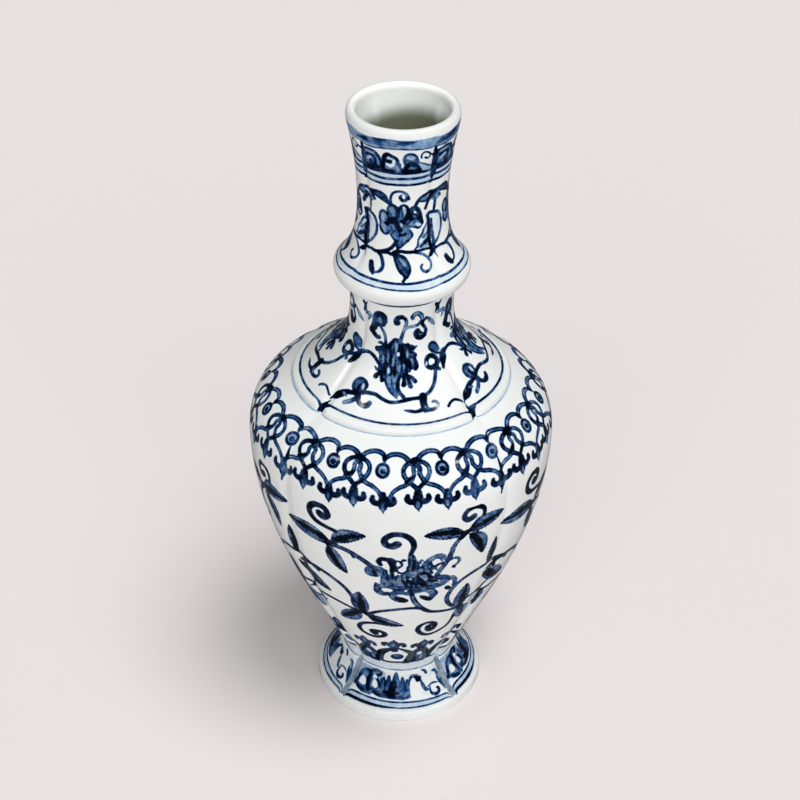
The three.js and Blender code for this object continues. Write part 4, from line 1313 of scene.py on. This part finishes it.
top_leaves = [
    brush((11, 60), (18, 64), (24, 68), (29.6, 72.2), (36, 74.4), (45, 75.2), (52, 74), (57, 71), heel=1.2,
          toe=0.8, tone=0.78),
    tint((28, 70.4), (34, 74), (46, 75.2), (57, 71), (52, 68.6), (42, 69.8), (33, 70.4), shade=0.42),
    brush((30, 71.4), (38, 70.8), (46, 71.6), (52, 69), width=2, heel=0.6, tone=0.75),
    glint((42, 73.4), (50, 72.6), width=1.4, shade=0.18),
    brush((-51, 66), (-48, 69.6), (-43, 73.2), (-35, 75), (-27, 74.6), (-19, 73), (-12, 71), (-8, 69.6),
          width=4.4, heel=0.6, toe=0.5, tone=0.95),
    brush((-44, 72.6), (-34, 76.2), (-25, 76.8), (-16, 75), (-11, 71), width=1.6),
    glint((-31, 74.6), (-21, 74.2), width=1.2, shade=0.55),
    glint((-40, 72.6), (-35, 73.4), width=0.9, shade=0.5),
    brush((-7.6, 70.4), (-9, 73.6), (-6, 77.2), (0, 78.8), (7, 78.6), (12.4, 76.6), (14.6, 74), width=1.6,
          heel=0.8, toe=1.6, tone=0.55),
    brush((14.4, 74.4), (11, 73), (7, 73), (4.2, 75), (6, 76.6), heel=1.2, toe=0.5, tone=0.95),
    brush((49.6, 62), (50.6, 67), (50, 72), width=1.9, tone=0.9),
]
scroll_band = [
    tint((-47, 91), (-46, 101), (-36, 103.6), (-25, 103), (-19, 97), (-17, 99), (-10, 104), (0, 102),
         (6, 95), (9, 98), (10, 102), (17, 104), (25, 99), (30, 94), (44, 93), (46, 91), shade=0.5),
    brush((-46, 100.4), (-39, 103.4), (-32, 103.8), (-25, 102.6), (-20.4, 99), (-19.6, 93), width=1.8,
          heel=0.8, toe=1),
    brush((-43, 95.4), (-40, 99), (-34, 100.6), (-28, 98.6), (-28, 95), (-33, 94), (-35, 96.4), width=2.6,
          heel=0.6, toe=1),
    brush((-47, 92), (-38, 92), (-28, 93), (-21, 94), width=3.2, heel=0.8, toe=0.9, tone=0.9),
    glint((-44.6, 96), (-43, 98.6), width=1.6, shade=0.1),
    glint((-38, 96.8), (-34, 98.6), width=1.2, shade=0.2),
    glint((-24.6, 98.6), (-23.6, 95), width=1.1, shade=0.35),
    glint((-40, 101.6), (-30, 101.8), width=0.8, shade=0.3),
    brush((-17, 93.6), (-16.6, 98), (-14, 102), (-9.6, 103.4), (-5, 102), width=2.8, heel=0.9, toe=0.7,
          tone=1.05),
    brush((-7, 102.6), (-1.6, 101.6), (2, 99), (4.4, 95.4), (6.4, 91.6), width=1.9, heel=0.9, toe=1.2,
          tone=0.75),
    brush((-12, 98.4), (-8.6, 98.8), (-5.4, 98), width=2.4, heel=0.9, toe=0.8, tone=0.95),
    glint((-12, 96.6), (-8, 95.6), (-4.6, 97), (-3.4, 99.4), width=1.5, shade=0.06),
    glint((-10.6, 101), (-6, 100.8), width=1.1, shade=0.14),
    glint((-14, 94.6), (-9, 94), width=1.2, shade=0.42),
    glint((-1, 96.6), (0.6, 93.6), width=1.2, shade=0.42),
    brush((-18, 92), (-8, 92.2), (2, 91.6), width=2.8, heel=0.9, tone=0.95),
    scrape((6, 99), 2.4),
    scrape((6.8, 95.6), 1.2),
    brush((10.4, 97), (8.8, 100.6), (11.6, 103.4), (17, 104), (22.4, 102.2), (25.2, 98.4), width=1.7,
          heel=1.1, toe=1.3, tone=0.72),
    glint((14, 101.6), (20, 101.4), width=2.2, shade=0.26),
    brush((9, 92.6), (14, 96.6), (19, 97), (24, 95.6), (29, 92), width=3.8, heel=0.9, toe=0.7, tone=1),
    brush((12, 92), (20, 92.6), (28, 91.6), width=3.2, tone=1.05),
    glint((18.6, 94.6), (22.6, 94), width=1.4, shade=0.5),
    brush((30, 100.4), (29.4, 102.4), (33, 104.2), (37.4, 103.2), (39, 101), (36.6, 99.6), (34, 100.4),
          width=1.2, heel=0.9, toe=1.1, tone=0.7),
    brush((37.6, 102.6), (41.6, 100.8), (45, 98.2), (47, 94.6), width=1.2, heel=0.6, toe=1, tone=0.7),
    tint((27, 98), (34, 97), (44, 94), (46, 91), (30, 91), shade=0.24),
    brush((26, 97.6), (32, 96.6), (38, 94.4), (44, 92.6), width=1.2, tone=0.5),
    brush((-45, 104), (-44.2, 96), (-44.8, 89), (-45, 84), width=4.6, heel=0.6, toe=0.3, tone=0.9),
]
paint(mouth, mouth_lines + hanging + ring_stem + lotus + top_leaves + scroll_band, seed=33, share=0.904)
mouth.finish("mouth")


# Room
# A pale matt floor and an even sky, which is paler behind the vase and, like the floor, darker in its glaze.
# A key far up on the right and a far fill in front stay out of the glaze, where two small boxes show.

# The room is measured in metres.
FLOOR_SIZE = 30
FLOOR_COLOURS = srgb(236, 229, 229), srgb(110, 107, 107)
SKY_LIGHT, SKY_IN_GLAZE, BACKDROP_LIGHT = 0.26, 0.12, 0.53
LIT_PLACE = Vector((0, 0, 0.2))
BOX_SIZE = 0.26

bpy.ops.object.select_all(action="DESELECT")
bpy.ops.mesh.primitive_plane_add(size=FLOOR_SIZE)
floor = bpy.context.object
floor.name = "floor"
ground = Recipe(bpy.data.materials.new("pale_floor"))
mirrored = ground.node("ShaderNodeLightPath", {}, {}, "Is Glossy Ray")
floor_colour = ground.mix(mirrored, *FLOOR_COLOURS)
matt = {"Base Color": floor_colour, "Roughness": 0.9, "Specular IOR Level": 0.1}
ground_shader = ground.node("ShaderNodeBsdfPrincipled", {}, matt)
ground.node("ShaderNodeOutputMaterial", {}, {"Surface": ground_shader})
floor.data.materials.append(ground.made)

sky = Recipe(bpy.data.worlds.new("studio"))
bpy.context.scene.world = sky.made
in_glaze = sky.node("ShaderNodeLightPath", {}, {}, "Is Glossy Ray")
in_view = sky.node("ShaderNodeLightPath", {}, {}, "Is Camera Ray")
strength = SKY_LIGHT + in_glaze * (SKY_IN_GLAZE - SKY_LIGHT) + in_view * BACKDROP_LIGHT
backdrop = sky.node("ShaderNodeBackground", {}, {"Color": (1, 1, 1, 1), "Strength": strength})
sky.node("ShaderNodeOutputWorld", {}, {"Surface": backdrop})


def aimed(name, kind, place):
    """A lamp that looks at the vase from a place."""
    made = bpy.data.objects.new(name, bpy.data.lights.new(name, kind))
    bpy.context.scene.collection.objects.link(made)
    made.location = place
    made.rotation_euler = (LIT_PLACE - Vector(place)).to_track_quat("-Z", "Y").to_euler()
    return made


def far_light(name, place, spread_angle, power):
    """A broad soft light from far off, kept out of the glaze."""
    made = aimed(name, "SUN", place)
    made.data.angle, made.data.energy = math.radians(spread_angle), power
    made.visible_glossy = False


def highlight(name, place, power):
    """A small square soft box that only shows in the glaze."""
    made = aimed(name, "AREA", place)
    made.data.shape, made.data.size, made.data.energy = "SQUARE", BOX_SIZE, power
    made.visible_diffuse = False


far_light("key", (3.6, -2.5, 14.0), 30, 1.62)
far_light("fill", (0.4, -6.0, 3.0), 70, 1.62)
highlight("right_box", (2.24, -1.48, 3.0), 30)
highlight("left_box", (-2.24, -1.48, 3.0), 20)


# Camera
# The photograph looks down on the vase from in front with a short telephoto lens,
# a little from the right and leaning by half a degree.

LENS, SENSOR, LENS_SHIFT = 85, 36, -0.0013
FROM_RIGHT, LOOKS_DOWN, LEANS = 2.15, 35.86, 0.46
REACH, EYE_HEIGHT = 0.93325, 0.89505

view = bpy.data.cameras.new("camera")
camera = bpy.data.objects.new("camera", view)
bpy.context.scene.collection.objects.link(camera)
bpy.context.scene.camera = camera
view.lens, view.sensor_width, view.shift_x = LENS, SENSOR, LENS_SHIFT
side = math.radians(FROM_RIGHT)
camera.location = (REACH * math.sin(side), -REACH * math.cos(side), EYE_HEIGHT)
camera.rotation_mode = "XYZ"
tilt = Matrix.Rotation(math.radians(90 - LOOKS_DOWN), 4, "X")
lean = Matrix.Rotation(math.radians(LEANS), 4, "Z")
camera.rotation_euler = (Matrix.Rotation(side, 4, "Z") @ tilt @ lean).to_euler()

bpy.context.scene.view_settings.view_transform = "Standard"
